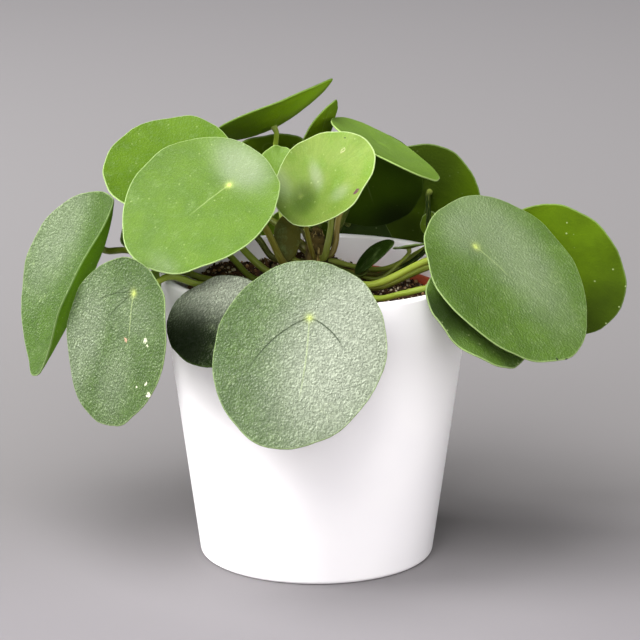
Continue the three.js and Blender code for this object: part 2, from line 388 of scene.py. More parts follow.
@dataclass(frozen=True)
class Loam:
    """Damp potting soil: dark crumbs, fibres and pale specks.

    Args:
        dark: Tone of its hollows: the soil's own dark, with painted shade.
        brown: Tone of its grains.
        tan: Tone of its fibres.
        pale: Tone of its specks.
    """

    dark: Colour = colour(32, 20, 12)
    brown: Colour = colour(84, 54, 32)
    tan: Colour = colour(158, 124, 84)
    pale: Colour = colour(214, 200, 172)

    def material(self, name: str, own_tone: bool) -> bpy.types.Material:
        """Makes the finish.

        Args:
            name: The material's name.
            own_tone: True for loose crumbs, each of which carries its own tone.

        Returns:
            The material.
        """
        book = NodeBook(name)
        grain = book.cloud(420, 6, rough=0.65)
        # Darker where the grain, and so the relief, is low: painted shade in the hollows over the
        # soil's own dark.
        base = book.mix(book.ease(grain, 0.38, 0.66), self.dark, self.brown)
        if own_tone:
            tone, _, _ = book.parts(book.own("tone"))
            base = book.mix(book.ease(tone, 0.5, 0.75), base, self.tan)
            base = book.mix(book.ease(tone, 0.76, 0.86), base, self.pale)
        else:
            base = book.mix(book.ease(book.cloud(800, 3), 0.6, 0.72, 0.0, 0.8), base, self.tan)
            base = book.mix(book.ease(book.cells(330), 0.17, 0.11, 0.0, 0.8), base, self.pale)
        height = 0.6 * grain + 0.4 * book.cells(600)
        return book.finish({
            "Base Color": base,
            "Roughness": book.ease(grain, 0.3, 0.7, 0.75, 0.95),
            "Normal": book.bump(height, 1.2, 0.9),
            "Specular IOR Level": 0.2,
        })


@dataclass(frozen=True)
class Bark:
    """The woody stem's bark, ridged and fibrous.

    Args:
        wood: Its own tone.
        dark: Tone of its hollows: the bark's own dark, with painted shade.
        light: Tone of its dry fibres.
        papery: How much of the light tone there is.
    """

    wood: Colour = colour(88, 74, 34)
    dark: Colour = colour(36, 30, 12)
    light: Colour = colour(168, 146, 88)
    papery: float = 0.1

    def material(self) -> bpy.types.Material:
        """Makes the finish.

        Returns:
            The material.
        """
        book = NodeBook("stem_bark")
        inputs = {"Vector": book.place, "Scale": (1.0, 1.0, 0.25)}
        fibre = book.cloud(900, 4, book.node("ShaderNodeMapping", {}, inputs))
        patch = book.cloud(260, 4)
        # Darker where the patches, and so the relief, are low: painted shade in the hollows over
        # the bark's own dark.
        base = book.mix(book.ease(patch, 0.35, 0.62), self.dark, self.wood)
        light = book.ease(fibre, 0.66 - self.papery, 0.8 - self.papery)
        base = book.mix(light, base, self.light)
        return book.finish({
            "Base Color": base,
            "Roughness": 0.75,
            "Normal": book.bump(0.5 * fibre + 0.5 * patch, 0.6, 0.9),
            "Specular IOR Level": 0.15,
        })


class Tone(Enum):
    """The greens that blades have, as (upper side, its deeper parts, under side, margin)."""

    PALE = (colour(110, 130, 56), colour(88, 120, 24), colour(100, 134, 4), colour(196, 212, 158))
    LIGHT = (colour(80, 109, 20), colour(66, 96, 12), colour(100, 136, 2), colour(188, 208, 146))
    LIME = (colour(94, 126, 24), colour(82, 114, 16), colour(100, 136, 2), colour(176, 200, 126))
    FRESH = (colour(74, 103, 24), colour(60, 89, 14), colour(104, 136, 0), colour(170, 192, 126))
    DEEP = (colour(62, 89, 22), colour(48, 75, 12), colour(80, 106, 0), colour(160, 184, 120))
    # Greens darkened for leaves that lie deep in shade: painted shade.
    DARK = (colour(24, 42, 0), colour(18, 33, 0), colour(42, 62, 0), colour(60, 84, 24))
    OLIVE = (colour(74, 72, 10), colour(46, 56, 6), colour(70, 70, 4), colour(96, 98, 30))
    FOLD = (colour(62, 89, 22), colour(48, 75, 12), colour(72, 110, 0), colour(160, 184, 120))


class Wax(Enum):
    """The pale tones that lie over a blade's greens; two of them are painted light, a sheen and
    glints.
    """

    HAZE = colour(132, 156, 92)
    GRAIN = colour(140, 162, 104)
    # Painted sheen.
    BLOOM = colour(162, 168, 150)
    # Painted glints on the crinkles.
    FLECK = colour(184, 192, 170)
    MARK = colour(184, 198, 140)
    RIB = colour(166, 182, 124)
    EYE = colour(208, 222, 116)


class Streak(Enum):
    """The tones that lie over a stalk's green."""

    PALE = colour(150, 158, 80)
    DARK = colour(62, 66, 20)
    NECK = colour(140, 152, 70)


def darker(shade: Colour, share: float) -> Colour:
    """A colour with only a share of its light, or with more of it where the share is over 1."""
    return (*(share * part for part in shade[:3]), 1.0)


class Cork(Enum):
    """What a scar on a blade looks like."""

    PURPLE = colour(88, 58, 64)
    TAN = colour(176, 142, 116)
    PALE = colour(190, 194, 166)
    MOSS = colour(150, 152, 108)
    DARK = colour(34, 44, 26)


@dataclass(frozen=True)
class Scar:
    """A small corky scar.

    Args:
        at: Its middle, along and across in millimetres from the hub.
        radius: Its radius.
        cork: What it looks like.
        hollow: True where its middle is green.
    """

    at: Pair
    radius: float
    cork: Cork
    hollow: bool = False


@dataclass(frozen=True)
class Rib:
    """A rib of a blade.

    Args:
        start: Its angle at the hub, in degrees from the tip.
        bend: How far it has turned at BEND_AT from the hub, in degrees.
        reach: How far it shows, in millimetres.
        pale: How much paler it is, or below 0 how much darker: a dark rib is painted shade in its
            groove.
    """

    start: float
    bend: float
    reach: float
    pale: float


# The ribs of a blade that hardly shows any.
FAINT = (
    Rib(2, 0, 26, 0.3), Rib(58, -18, 18, -0.12), Rib(-56, 16, 18, -0.12), Rib(112, -20, 12, -0.1),
)


@dataclass(frozen=True)
class Skin:
    """A blade's skin: waxy and finely crinkled, with ribs, water marks and a thin pale margin.

    Args:
        tone: Its greens.
        pebble: Strength of the fine relief, and of the painted glints and shade on its crinkles.
        rays: Strength of the fine folds that run out from the hub.
        marks: Strength of the pale rings and specks.
        gloss: Roughness of its wax.
        shine: How strongly the wax reflects.
        ribs: Its ribs.
        scars: Its scars.
    """

    tone: Tone
    pebble: float = 0.5
    rays: float = 0.3
    marks: float = 0.3
    gloss: float = 0.42
    shine: float = 0.28
    ribs: tuple[Rib, ...] = FAINT
    scars: tuple[Scar, ...] = ()

    @staticmethod
    def crease(value: Wire, width: float) -> Wire:
        """Thin lines where soft noise crosses its middle.

        Args:
            value: The noise.
            width: How far from its middle the lines reach.

        Returns:
            Strength of the lines.
        """
        return value.book.ease((value - 0.5).maths("ABSOLUTE"), width, 0.0)

    def rib_lines(self, book: NodeBook, disc: Wire) -> tuple[Wire, Wire]:
        """Strength of the pale ribs and of the dark ribs, which are painted shade in the ribs'
        grooves.

        Args:
            book: The material's nodes.
            disc: Places from the hub.

        Returns:
            The two strengths.
        """
        x, y, _ = book.parts(disc)
        turn = y.maths("ARCTAN2", x)
        radius = (x * x + y * y).maths("SQRT")
        pale = dark = radius * 0.0
        for rib in self.ribs:
            course = radius * (math.radians(rib.bend) / BEND_AT) + math.radians(rib.start)
            apart = (turn - course).maths("ABSOLUTE") * radius
            line = book.ease(apart, 0.5, 0.1)
            line = line * book.ease(radius, rib.reach, 0.5 * rib.reach, 0.0, abs(rib.pale))
            if rib.pale > 0:
                pale = pale.most(line)
            else:
                dark = dark.most(line)
        return pale, dark

    def water_marks(self, book: NodeBook, disc: Wire, grain: Wire) -> Wire:
        """Strength of the pale rings and specks that dried drops leave.

        Args:
            book: The material's nodes.
            disc: Places from the hub.
            grain: Fine noise.

        Returns:
            Their strength.
        """
        ring, lot = book.chance(0.055, disc)
        ring = book.ease(ring, 0.1, 0.14) * book.ease(ring, 0.18, 0.145) * book.ease(lot, 0.4, 0.46)
        speck, lot = book.chance(0.3, disc)
        speck = book.ease(speck, 0.17, 0.08) * book.ease(lot, 0.66, 0.7)
        return self.marks * (0.3 * ring * grain + 0.6 * speck)

    def scarred(
        self, book: NodeBook, places: Wire, grain: Wire, base: Wire, rough: Wire,
    ) -> tuple[Wire, Wire]:
        """Adds the scars.

        Args:
            book: The material's nodes.
            places: Places from the hub, finely bent.
            grain: Fine noise.
            base: Colour of the skin.
            rough: Roughness of the skin.

        Returns:
            Colour and roughness with the scars.
        """
        for scar in self.scars:
            apart = book.vector("DISTANCE", places, (*scar.at, 0.0), output=1)
            apart = apart + (grain - 0.5) * (scar.radius * 1.6)
            spot = book.ease(apart, scar.radius, scar.radius * 0.7)
            if scar.hollow:
                spot = spot * book.ease(apart, scar.radius * 0.3, scar.radius * 0.65)
            base = book.mix(spot, base, scar.cork.value)
            rough = rough + 0.3 * spot
        return base, rough

    def material(self, name: str) -> bpy.types.Material:
        """Makes the finish.

        Args:
            name: The material's name.

        Returns:
            The material.
        """
        upper, deep, under, margin = self.tone.value
        book = NodeBook(name)
        disc = book.own("disc")
        below, rim, eye = book.parts(book.own("marks"))
        # Pale patches carried by the mesh are painted sheen, and on the under side painted glow of
        # light through the blade; dark patches are painted shade.
        painted_light, shade, _ = book.parts(book.own("tones"))
        inputs = {"Vector": disc, "Scale": 0.4, "Detail": 3.0}
        warp = book.node("ShaderNodeTexNoise", {}, inputs, "Color")
        warp = book.vector("SUBTRACT", warp, (0.5, 0.5, 0.5))
        bent = book.vector("MULTIPLY_ADD", warp, (4.0, 4.0, 0.0), disc)
        mottle = book.cloud(0.08, 4, disc, 0.6)
        haze = book.cloud(0.16, 5, bent, 0.75)
        grain = book.cloud(0.9, 4, disc, 0.68)
        wrinkle = book.cloud(1.0, 3, disc, 0.68)
        # A copy of the fine relief a little aside: where the two differ, painted glints and painted
        # shade fall on the crinkles, as if lit from one side.
        beside = book.vector("ADD", disc, (0.25, 0.35, 0.0))
        slope = book.cloud(1.0, 3, beside, 0.68) - wrinkle
        folds = self.crease(book.cloud(0.35, 3, bent, 0.65), 0.07)
        fan = self.crease(book.cloud(0.8, 2, book.own("rays"), 0.6), 0.12)
        lines = (folds * self.pebble).most(fan * self.rays)
        pale_ribs, dark_ribs = self.rib_lines(book, disc)
        green = book.mix(book.ease(mottle, 0.38, 0.68, 0.0, 0.7), upper, deep)
        green = book.mix(book.ease(haze, 0.5, 0.75, 0.0, 0.3), green, Wax.HAZE.value)
        dusty = book.ease(grain, 0.55, 0.72, 0.0, 0.08 + 0.06 * self.pebble)
        green = book.mix(dusty, green, Wax.GRAIN.value)
        # Painted sheen over the upper side.
        green = book.mix(painted_light * (0.8 + 0.4 * wrinkle), green, Wax.BLOOM.value)
        # Painted glints and painted shade on the crinkles, strongest under the painted sheen.
        relief = book.ease(haze, 0.35, 0.6, 0.45, 1.0) * (0.26 + 0.42 * painted_light) * self.pebble ** 2
        green = book.mix(book.ease(slope, 0.02, 0.14) * relief, green, Wax.FLECK.value)
        green = book.mix(book.ease(slope, -0.02, -0.14) * relief, green, darker(deep, 0.35))
        # Painted shade over the upper side, from the dark patches.
        green = book.mix(shade, green, darker(deep, 0.25))
        # Painted shade in the fine folds and in the dark ribs' grooves.
        green = book.mix((lines * 0.3).most(dark_ribs), green, darker(deep, 0.45))
        back = book.mix(book.ease(mottle, 0.35, 0.65, 0.0, 0.5), under, darker(under, 0.62))
        # On the under side: painted glow of light through the blade, then painted shade.
        back = book.mix(painted_light, back, darker(under, 2.4))
        back = book.mix(shade, back, darker(under, 0.3))
        base = book.mix(below, green, back)
        base = book.mix(self.water_marks(book, disc, grain), base, Wax.MARK.value)
        base = book.mix(pale_ribs * (1.0 - 0.6 * below), base, Wax.RIB.value)
        base = book.mix(eye, base, Wax.EYE.value)
        base = book.mix(rim, base, margin)
        rough = self.gloss + 0.12 * grain + 0.35 * below
        base, rough = self.scarred(book, bent, grain, base, rough)
        height = wrinkle + 0.35 * grain - 0.3 * lines + 0.3 * pale_ribs - 0.5 * dark_ribs
        return book.finish({
            "Base Color": base,
            "Roughness": rough,
            "Normal": book.bump(height, 0.9, self.pebble),
            "Specular IOR Level": self.shine,
        })


@dataclass(frozen=True)
class StalkSkin:
    """A leaf stalk's skin: juicy green with fine streaks, on some leaves browner at the foot.

    Args:
        green: Its own tone.
        foot: Its tone at the foot.
        gloss: Its least roughness.
        shine: How strongly it reflects.
    """

    green: Colour
    foot: Colour
    gloss: float = 0.4
    shine: float = 0.3

    def material(self, name: str) -> bpy.types.Material:
        """Makes the finish.

        Args:
            name: The material's name.

        Returns:
            The material.
        """
        book = NodeBook(name)
        along, _, _ = book.parts(book.own("run"))
        streak = book.cloud(1.0, 3, book.own("grain"), 0.6)
        base = book.mix(book.ease(along, 0.45, 0.05, 0.0, 0.9), self.green, self.foot)
        base = book.mix(book.ease(streak, 0.5, 0.72, 0.0, 0.4), base, Streak.PALE.value)
        base = book.mix(book.ease(streak, 0.42, 0.28, 0.0, 0.35), base, Streak.DARK.value)
        base = book.mix(book.ease(along, 0.93, 1.0, 0.0, 0.6), base, Streak.NECK.value)
        return book.finish({
            "Base Color": base,
            "Roughness": self.gloss + 0.15 * streak,
            "Normal": book.bump(streak, 0.25, 0.5),
            "Specular IOR Level": self.shine,
        })


# Making of meshes.


def fresh() -> None:
    """Leaves nothing open and nothing selected, so that an operator acts on its own piece alone."""
    if bpy.context.object and bpy.context.object.mode != "OBJECT":
        bpy.ops.object.mode_set(mode="OBJECT")
    bpy.ops.object.select_all(action="DESELECT")


def corners(mesh: bpy.types.Mesh) -> np.ndarray:
    """The places of a mesh's corners.

    Args:
        mesh: The mesh.

    Returns:
        One row for each corner.
    """
    places = np.empty(len(mesh.vertices) * 3)
    mesh.vertices.foreach_get("co", places)
    return places.reshape(-1, 3)


def set_corners(mesh: bpy.types.Mesh, places: np.ndarray) -> None:
    """Moves a mesh's corners.

    Args:
        mesh: The mesh.
        places: One row for each corner.
    """
    mesh.vertices.foreach_set("co", places.astype(np.float32).ravel())
    mesh.update()


def carry(mesh: bpy.types.Mesh, name: str, *columns: np.ndarray) -> None:
    """Gives each corner of a mesh a vector of its own, for its material to read.

    Args:
        mesh: The mesh.
        name: The attribute's name.
        columns: The vectors' first, second and third numbers, one for each corner.
    """
    attribute = mesh.attributes.new(name, "FLOAT_VECTOR", "POINT")
    attribute.data.foreach_set("vector", np.stack(columns, axis=1).astype(np.float32).ravel())


def hand_over(
    piece: bpy.types.Object, surface: bpy.types.Material, slot: str, *nodes: str
) -> None:
    """Dresses a finished piece and ties it to the frame.

    Args:
        piece: The piece.
        surface: Its material.
        slot: Not used.
        nodes: The solids that it stands for.
    """
    piece.data.materials.clear()
    piece.data.materials.append(surface)
    piece.data.shade_smooth()
    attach(piece, BODY)
    if nodes:
        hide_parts(*nodes)
    LOG.info("%s: %d faces", piece.name, len(piece.data.polygons))


def turned(name: str, outline: list[Pair], sides: int) -> bpy.types.Object:
    """Turns an outline about the upright axis: a disc at the first point, drawn on ring by ring.

    Args:
        name: The piece's name.
        outline: Radius and height of each ring, in millimetres, from the middle of the foot to the
            middle of the top.
        sides: Number of sides.

    Returns:
        The piece, closed at both ends.
    """
    fresh()
    radius, height = outline[0]
    bpy.ops.mesh.primitive_circle_add(
        vertices=sides, radius=radius * MM, fill_type="TRIFAN", location=(0, 0, height * MM),
    )
    piece = bpy.context.object
    bpy.ops.object.transform_apply(location=True, rotation=False, scale=False)
    bpy.ops.object.mode_set(mode="EDIT")
    bpy.ops.mesh.select_mode(type="EDGE")
    bpy.ops.mesh.select_all(action="DESELECT")
    bpy.ops.mesh.select_non_manifold()
    for next_radius, next_height in outline[1:]:
        rise = (0, 0, (next_height - height) * MM)
        bpy.ops.mesh.extrude_edges_move(TRANSFORM_OT_translate={"value": rise})
        size = next_radius / radius
        bpy.ops.transform.resize(value=(size, size, 1), center_override=(0, 0, 0))
        radius, height = next_radius, next_height
    bpy.ops.mesh.edge_face_add()
    bpy.ops.mesh.poke()
    bpy.ops.mesh.select_all(action="SELECT")
    bpy.ops.mesh.normals_make_consistent(inside=False)
    bpy.ops.object.mode_set(mode="OBJECT")
    piece.name = piece.data.name = name
    return piece


def arc(centre: Pair, size: float, start: float, end: float, steps: int) -> list[Pair]:
    """Points of an arc in an outline.

    Args:
        centre: Its centre, as radius and height.
        size: Its own radius.
        start: First angle in degrees.
        end: Last angle in degrees.
        steps: Number of steps.

    Returns:
        The points.
    """
    out, up = centre
    turns = [math.radians(start + (end - start) * i / steps) for i in range(steps + 1)]
    return [(out + size * math.cos(turn), up + size * math.sin(turn)) for turn in turns]


def copy_of(blank: bpy.types.Object, name: str) -> bpy.types.Object:
    """Copies a piece, with a mesh of its own.

    Args:
        blank: The piece.
        name: The copy's name.

    Returns:
        The copy.
    """
    made = blank.copy()
    made.data = blank.data.copy()
    made.name = made.data.name = name
    bpy.context.collection.objects.link(made)
    return made


def drop(piece: bpy.types.Object) -> None:
    """Takes away a blank that is no longer needed.

    Args:
        piece: The blank.
    """
    mesh = piece.data
    bpy.data.objects.remove(piece)
    bpy.data.meshes.remove(mesh)


# The pots.


@dataclass
class CoverPot:
    """The plain white tapered pot. Its sizes are in millimetres.

    Args:
        height: Its height.
        rim: Its outer radius at the top.
        foot: Its outer radius at the foot.
        wall: Its wall.
        floor: Height of its floor inside.
        foot_round: Radius of the rounding round the foot.
        middle: Radius of the ring round the middle of its foot and of its floor.
        recess: Height of the hollow under it.
        sides: Number of sides.
    """

    height: float = 131.0
    rim: float = 70.0
    foot: float = 52.8
    wall: float = 3.6
    floor: float = 6.0
    foot_round: float = 2.2
    middle: float = 8.0
    recess: float = 0.8
    sides: int = 160

    def outline(self) -> list[Pair]:
        """Draws the pot's outline.

        Returns:
            The outline, from the middle of its foot round to the middle of its floor.
        """
        low, high = 60, 110
        slope = (self.rim - self.foot) / self.height
        lean = math.degrees(math.atan(slope))
        lip = self.wall / 2
        inside = [self.foot + slope * z - self.wall for z in (self.floor, self.floor + 3)]
        hollow = self.foot - 6
        return [
            (self.middle, self.recess), (hollow, self.recess),
            (hollow + 0.6, 0.1), (hollow + 1.2, 0),
            *arc((self.foot - self.foot_round, self.foot_round), self.foot_round, -90, -lean, 6),
            (self.foot + slope * low, low), (self.foot + slope * high, high),
            *arc((self.rim - lip, self.height - lip), lip, 0, 180, 14),
            (self.foot + slope * high - self.wall, high), (inside[1], self.floor + 3),
            (inside[1] - 0.8, self.floor + 1.2), (inside[0] - 2.6, self.floor + 0.1),
            (inside[0] - 4, self.floor), (self.middle, self.floor),
        ]

    def build(self) -> None:
        """Turns the pot and glazes it."""
        piece = turned("cover_pot", self.outline(), self.sides)
        hand_over(piece, Glaze().material(), "pot", "pot")


@dataclass
class GrowersPot:
    """The thin terracotta coloured pot that stands inside the white one.

    Args:
        bottom: Where its foot stands, in millimetres above the cover pot's.
        height: Its height.
        rim: Its outer radius at the lip.
        foot: Its outer radius at the foot.
        wall: Its wall.
        lip: How far the lip stands out.
        lip_height: The lip's height.
        middle: Radius of the ring round the middle of its foot and of its floor.
        sides: Number of sides.
    """

    bottom: float = 6.3
    height: float = 113.0
    rim: float = 60.0
    foot: float = 45.0
    wall: float = 1.4
    lip: float = 1.6
    lip_height: float = 5.0
    middle: float = 8.0
    sides: int = 128

    def build(self) -> None:
        """Turns the pot, with its rolled lip, and dusts it with soil."""
        top = self.bottom + self.height
        under_lip = top - self.lip_height
        neck = self.rim - self.lip
        inner = neck - self.wall
        outline = [
            (self.middle, self.bottom), (self.foot - 1, self.bottom), (self.foot, self.bottom + 1),
            (neck, under_lip), (self.rim - 0.3, under_lip), (self.rim, under_lip + 0.4),
            (self.rim, top - 0.8), (self.rim - 0.3, top - 0.2), (self.rim - 0.9, top),
            (inner + 0.6, top), (inner, top - 0.6),
            (self.foot - self.wall, self.bottom + self.wall),
            (self.middle, self.bottom + self.wall),
        ]
        piece = turned("growers_pot", outline, self.sides)
        hand_over(piece, Terracotta().material(), "liner", "liner")


# Soil and stem.


@dataclass
class Soil:
    """Soil heaped round the stem, with loose crumbs on it. Its sizes are in millimetres.

    Args:
        surface: Height of the soil at some distances from the middle.
        heaps: Heaps on it, each as (X, Y, height, length, width).
        lump: Height of its broad lumps.
        edge: Its radius at the top.
        floor: Height of its foot.
        foot: Its radius at the foot.
        shoulder: Height where its side ends.
        level: Height of its top as turned, before it is heaped.
        sides: Number of sides.
        rings: Number of rings on the top.
        crumbs: Number of crumbs.
    """

    surface: tuple[Pair, ...] = (
        (0, 123.4), (9, 123.2), (14, 122.8), (20, 122.2), (27, 121.3), (35, 120.2), (43, 119),
        (50, 117.8), (54, 117), (56.6, 115),
    )
    heaps: tuple[tuple[float, ...], ...] = ((-4, 22, 11, 18, 9), (-46, 22, 8, 14, 18))
    lump: float = 0.5
    edge: float = 56.4
    floor: float = 8.0
    foot: float = 43.4
    shoulder: float = 113.0
    level: float = 115.0
    sides: int = 180
    rings: int = 72
    crumbs: int = 2600

    def rise(self, x: np.ndarray, y: np.ndarray) -> np.ndarray:
        """Height of the heaped surface over each place, before its fine lumps.

        Args:
            x: Places along X in millimetres.
            y: Places along Y.

        Returns:
            Heights in millimetres.
        """
        radius = np.hypot(x, y)
        turn = np.arctan2(y, x)
        height = np.interp(radius, *zip(*self.surface))
        height += self.lump * np.sin(5 * turn + radius / 3) * np.cos(3 * turn - radius)
        for at_x, at_y, top, wide, deep in self.heaps:
            height += top * np.exp(-(((x - at_x) / wide) ** 2 + ((y - at_y) / deep) ** 2) / 2)
        return height

    def rough(self, x: float, y: float) -> float:
        """Height of the fine lumps at a place.

        Args:
            x: The place along X in millimetres.
            y: The place along Y.

        Returns:
            The height in millimetres.
        """
        broad = noise.fractal(Vector((x, y, 0)) / 7, 1.0, 2.0, 3)
        fine = noise.noise(Vector((x, y, 5)) / 1.7)
        return 1.1 * broad + 0.55 * fine

    def build(self) -> None:
        """Makes the soil and its crumbs."""
        step = self.edge / self.rings
        outline = [
            (self.foot, self.floor),
            (self.foot + (self.edge - self.foot) * 0.98, self.shoulder),
            *((self.edge - step * i, self.level) for i in range(self.rings - 1)),
        ]
        heap = turned("soil_heap", outline, self.sides)
        places = corners(heap.data) / MM
        top = places[:, 2] > (self.shoulder + self.level) / 2
        x, y = places[top, 0], places[top, 1]
        fine = np.array([self.rough(a, b) for a, b in zip(x, y)])
        edge = np.clip((self.edge - np.hypot(x, y)) / 3, 0, 1)
        places[top, 2] = self.rise(x, y) + fine * (0.3 + 0.7 * edge)
        set_corners(heap.data, places * MM)
        loam = Loam()
        hand_over(heap, loam.material("potting_soil", own_tone=False), "soil", "soil")
        loose = self.scatter()
        hand_over(loose, loam.material("soil_crumbs", own_tone=True), "soil", "soil")

    def scatter(self) -> bpy.types.Object:
        """Scatters loose crumbs and pale grains over the soil, all one mesh.

        Returns:
            The crumbs.
        """
        fresh()
        bpy.ops.mesh.primitive_ico_sphere_add(subdivisions=1, radius=1.0)
        grain = bpy.context.object
        shape = corners(grain.data)
        faces = np.array([list(face.vertices) for face in grain.data.polygons])
        drop(grain)
        random = np.random.default_rng(SEED)
        places, joined, tones = [], [], []
        # Squares of the least and of the largest distance from the middle.
        near, far = 60, (self.edge - 1) ** 2
        for i in range(self.crumbs):
            radius = math.sqrt(random.uniform(near, far))
            turn = random.uniform(0, 2 * math.pi)
            x, y = radius * math.cos(turn), radius * math.sin(turn)
            size = 0.28 + 0.75 * random.random() ** 3
            tone = random.random()
            stretch = random.uniform(0.6, 1.3, 3) * size
            angle = random.uniform(0, 6.28)
            axis = Vector(random.normal(size=3)).normalized()
            spin = Matrix.Rotation(angle, 3, axis)
            lumpy = shape * (1 + random.uniform(-0.4, 0.4, (len(shape), 1)))
            base = float(self.rise(np.array([x]), np.array([y]))[0]) + self.rough(x, y)
            joined.append(faces + i * len(shape))
            places.append((lumpy * stretch) @ np.array(spin).T + (x, y, base + 0.25 * size))
            tones.append(np.full(len(shape), tone))
        mesh = bpy.data.meshes.new("soil_crumbs")
        spread = np.concatenate(places) * MM
        mesh.from_pydata(spread.tolist(), [], np.concatenate(joined).tolist())
        tone = np.concatenate(tones)
        carry(mesh, "tone", tone, tone, tone)
        piece = bpy.data.objects.new("soil_crumbs", mesh)
        bpy.context.collection.objects.link(piece)
        return piece


@dataclass
class Stem:
    """The short woody stem, ringed by leaf scars.

    Args:
        profile: Its radius at some heights, in millimetres.
        sides: Number of sides.
        rings: Number of rings.
    """

    profile: tuple[Pair, ...] = (
        (5, 100), (6, 118), (6.2, 127.5), (5.5, 129.5), (5.9, 131.5), (5.1, 134), (5.4, 136),
        (4.6, 138.5), (4.8, 140.5), (3.8, 143), (4, 145), (2.9, 147), (1.5, 149.5), (0.6, 150),
    )
    sides: int = 72
    rings: int = 60

    def build(self) -> None:
        """Turns the stem and roughens it."""
        radii, heights = zip(*self.profile)
        levels = np.linspace(heights[0], heights[-1], self.rings)
        outline = [(float(np.interp(z, heights, radii)), float(z)) for z in levels]
        piece = turned("stem_core", outline, self.sides)
        places = corners(piece.data) / MM
        radius = np.hypot(places[:, 0], places[:, 1]) + 1e-6
        for i, (x, y, z) in enumerate(places):
            bulge = 0.5 * noise.fractal(Vector((x, y, z)) / 3.2, 1.0, 2.0, 3)
            ring = 0.22 * math.sin(z * 2.6 + 1.5 * math.atan2(y, x))
            places[i, :2] *= 1 + (bulge + ring) / max(radius[i], 1.5) * (radius[i] > 0.7)
        set_corners(piece.data, places * MM)
        hand_over(piece, Bark().material(), "stem", "stem")


# Leaves.

# Where a blank's ring that becomes the crest of the round margin lies, as a share of its radius.
CREST = 0.993
# Distance in millimetres from there to the last ring of the flat part.
CREST_GAP = 0.28
# Depth and radius in millimetres of the dimple over the stalk.
DIMPLE_DEPTH, DIMPLE_RADIUS = 0.5, 2.6
# How far the noise of the under side is taken from that of the upper side.
UNDER_SHIFT = 40
# How closely the fine folds stand round the hub, and their length in millimetres.
FOLDS, FOLD_LENGTH = 15, 8
# Steps of a stalk's line from each point to the next, and the spacing of its rings in millimetres.
STALK_STEPS, STALK_SPACING = 20, 1.6


def smooth(points: list[np.ndarray], steps: int) -> np.ndarray:
    """Draws a smooth line through points that neither loops nor swings wide between them.

    Args:
        points: The points, in order.
        steps: Number of steps from each to the next.

    Returns:
        One row for each place on the line.
    """
    course = []
    for i in range(len(points) - 1):
        p1, p2 = points[i], points[i + 1]
        p0 = points[i - 1] if i else 2 * p1 - p2
        p3 = points[i + 2] if i + 2 < len(points) else 2 * p2 - p1
        pairs = ((p0, p1), (p1, p2), (p2, p3))
        before, gap, after = (max(np.linalg.norm(b - a), 1e-6) ** 0.5 for a, b in pairs)
        out = ((p1 - p0) / before - (p2 - p0) / (before + gap) + (p2 - p1) / gap) * gap
        back = ((p2 - p1) / gap - (p3 - p1) / (gap + after) + (p3 - p2) / after) * gap
        square = 3 * (p2 - p1) - 2 * out - back
        cube = 2 * (p1 - p2) + out + back
        for t in np.linspace(0, 1, steps, endpoint=False):
            course.append(p1 + out * t + square * t ** 2 + cube * t ** 3)
    course.append(points[-1])
    return np.array(course)


class Grade(Enum):
    """How finely a blade is divided, as (sides, rings, its least length in millimetres)."""

    FINE = (192, 40, 58)
    MIDDLE = (128, 26, 26)
    SMALL = (72, 10, 0)


@dataclass(frozen=True)
class Patch:
    """A soft pale or dark area of a blade: painted sheen where pale, painted shade where dark.

    Args:
        at: Its middle, along and across in millimetres from the hub.
        reach: Its half length and half width.
        turn: Its turn in degrees.
        pale: Strength of the painted sheen, painted glow of light through the blade on the under
            side; below 0, strength of the painted shade.
        under: True where it lies on the under side.
    """

    at: Pair
    reach: Pair
    turn: float
    pale: float
    under: bool = False

    def mask(self, along: np.ndarray, across: np.ndarray) -> np.ndarray:
        """Strength of the patch, pale or dark.

        Args:
            along: Places along the blade in millimetres from the hub.
            across: Places across it.

        Returns:
            Its strength at each place.
        """
        turn = math.radians(self.turn)
        x, y = along - self.at[0], across - self.at[1]
        u = (x * math.cos(turn) + y * math.sin(turn)) / self.reach[0]
        v = (y * math.cos(turn) - x * math.sin(turn)) / self.reach[1]
        return abs(self.pale) * np.exp(-((u * u + v * v) ** 1.5))


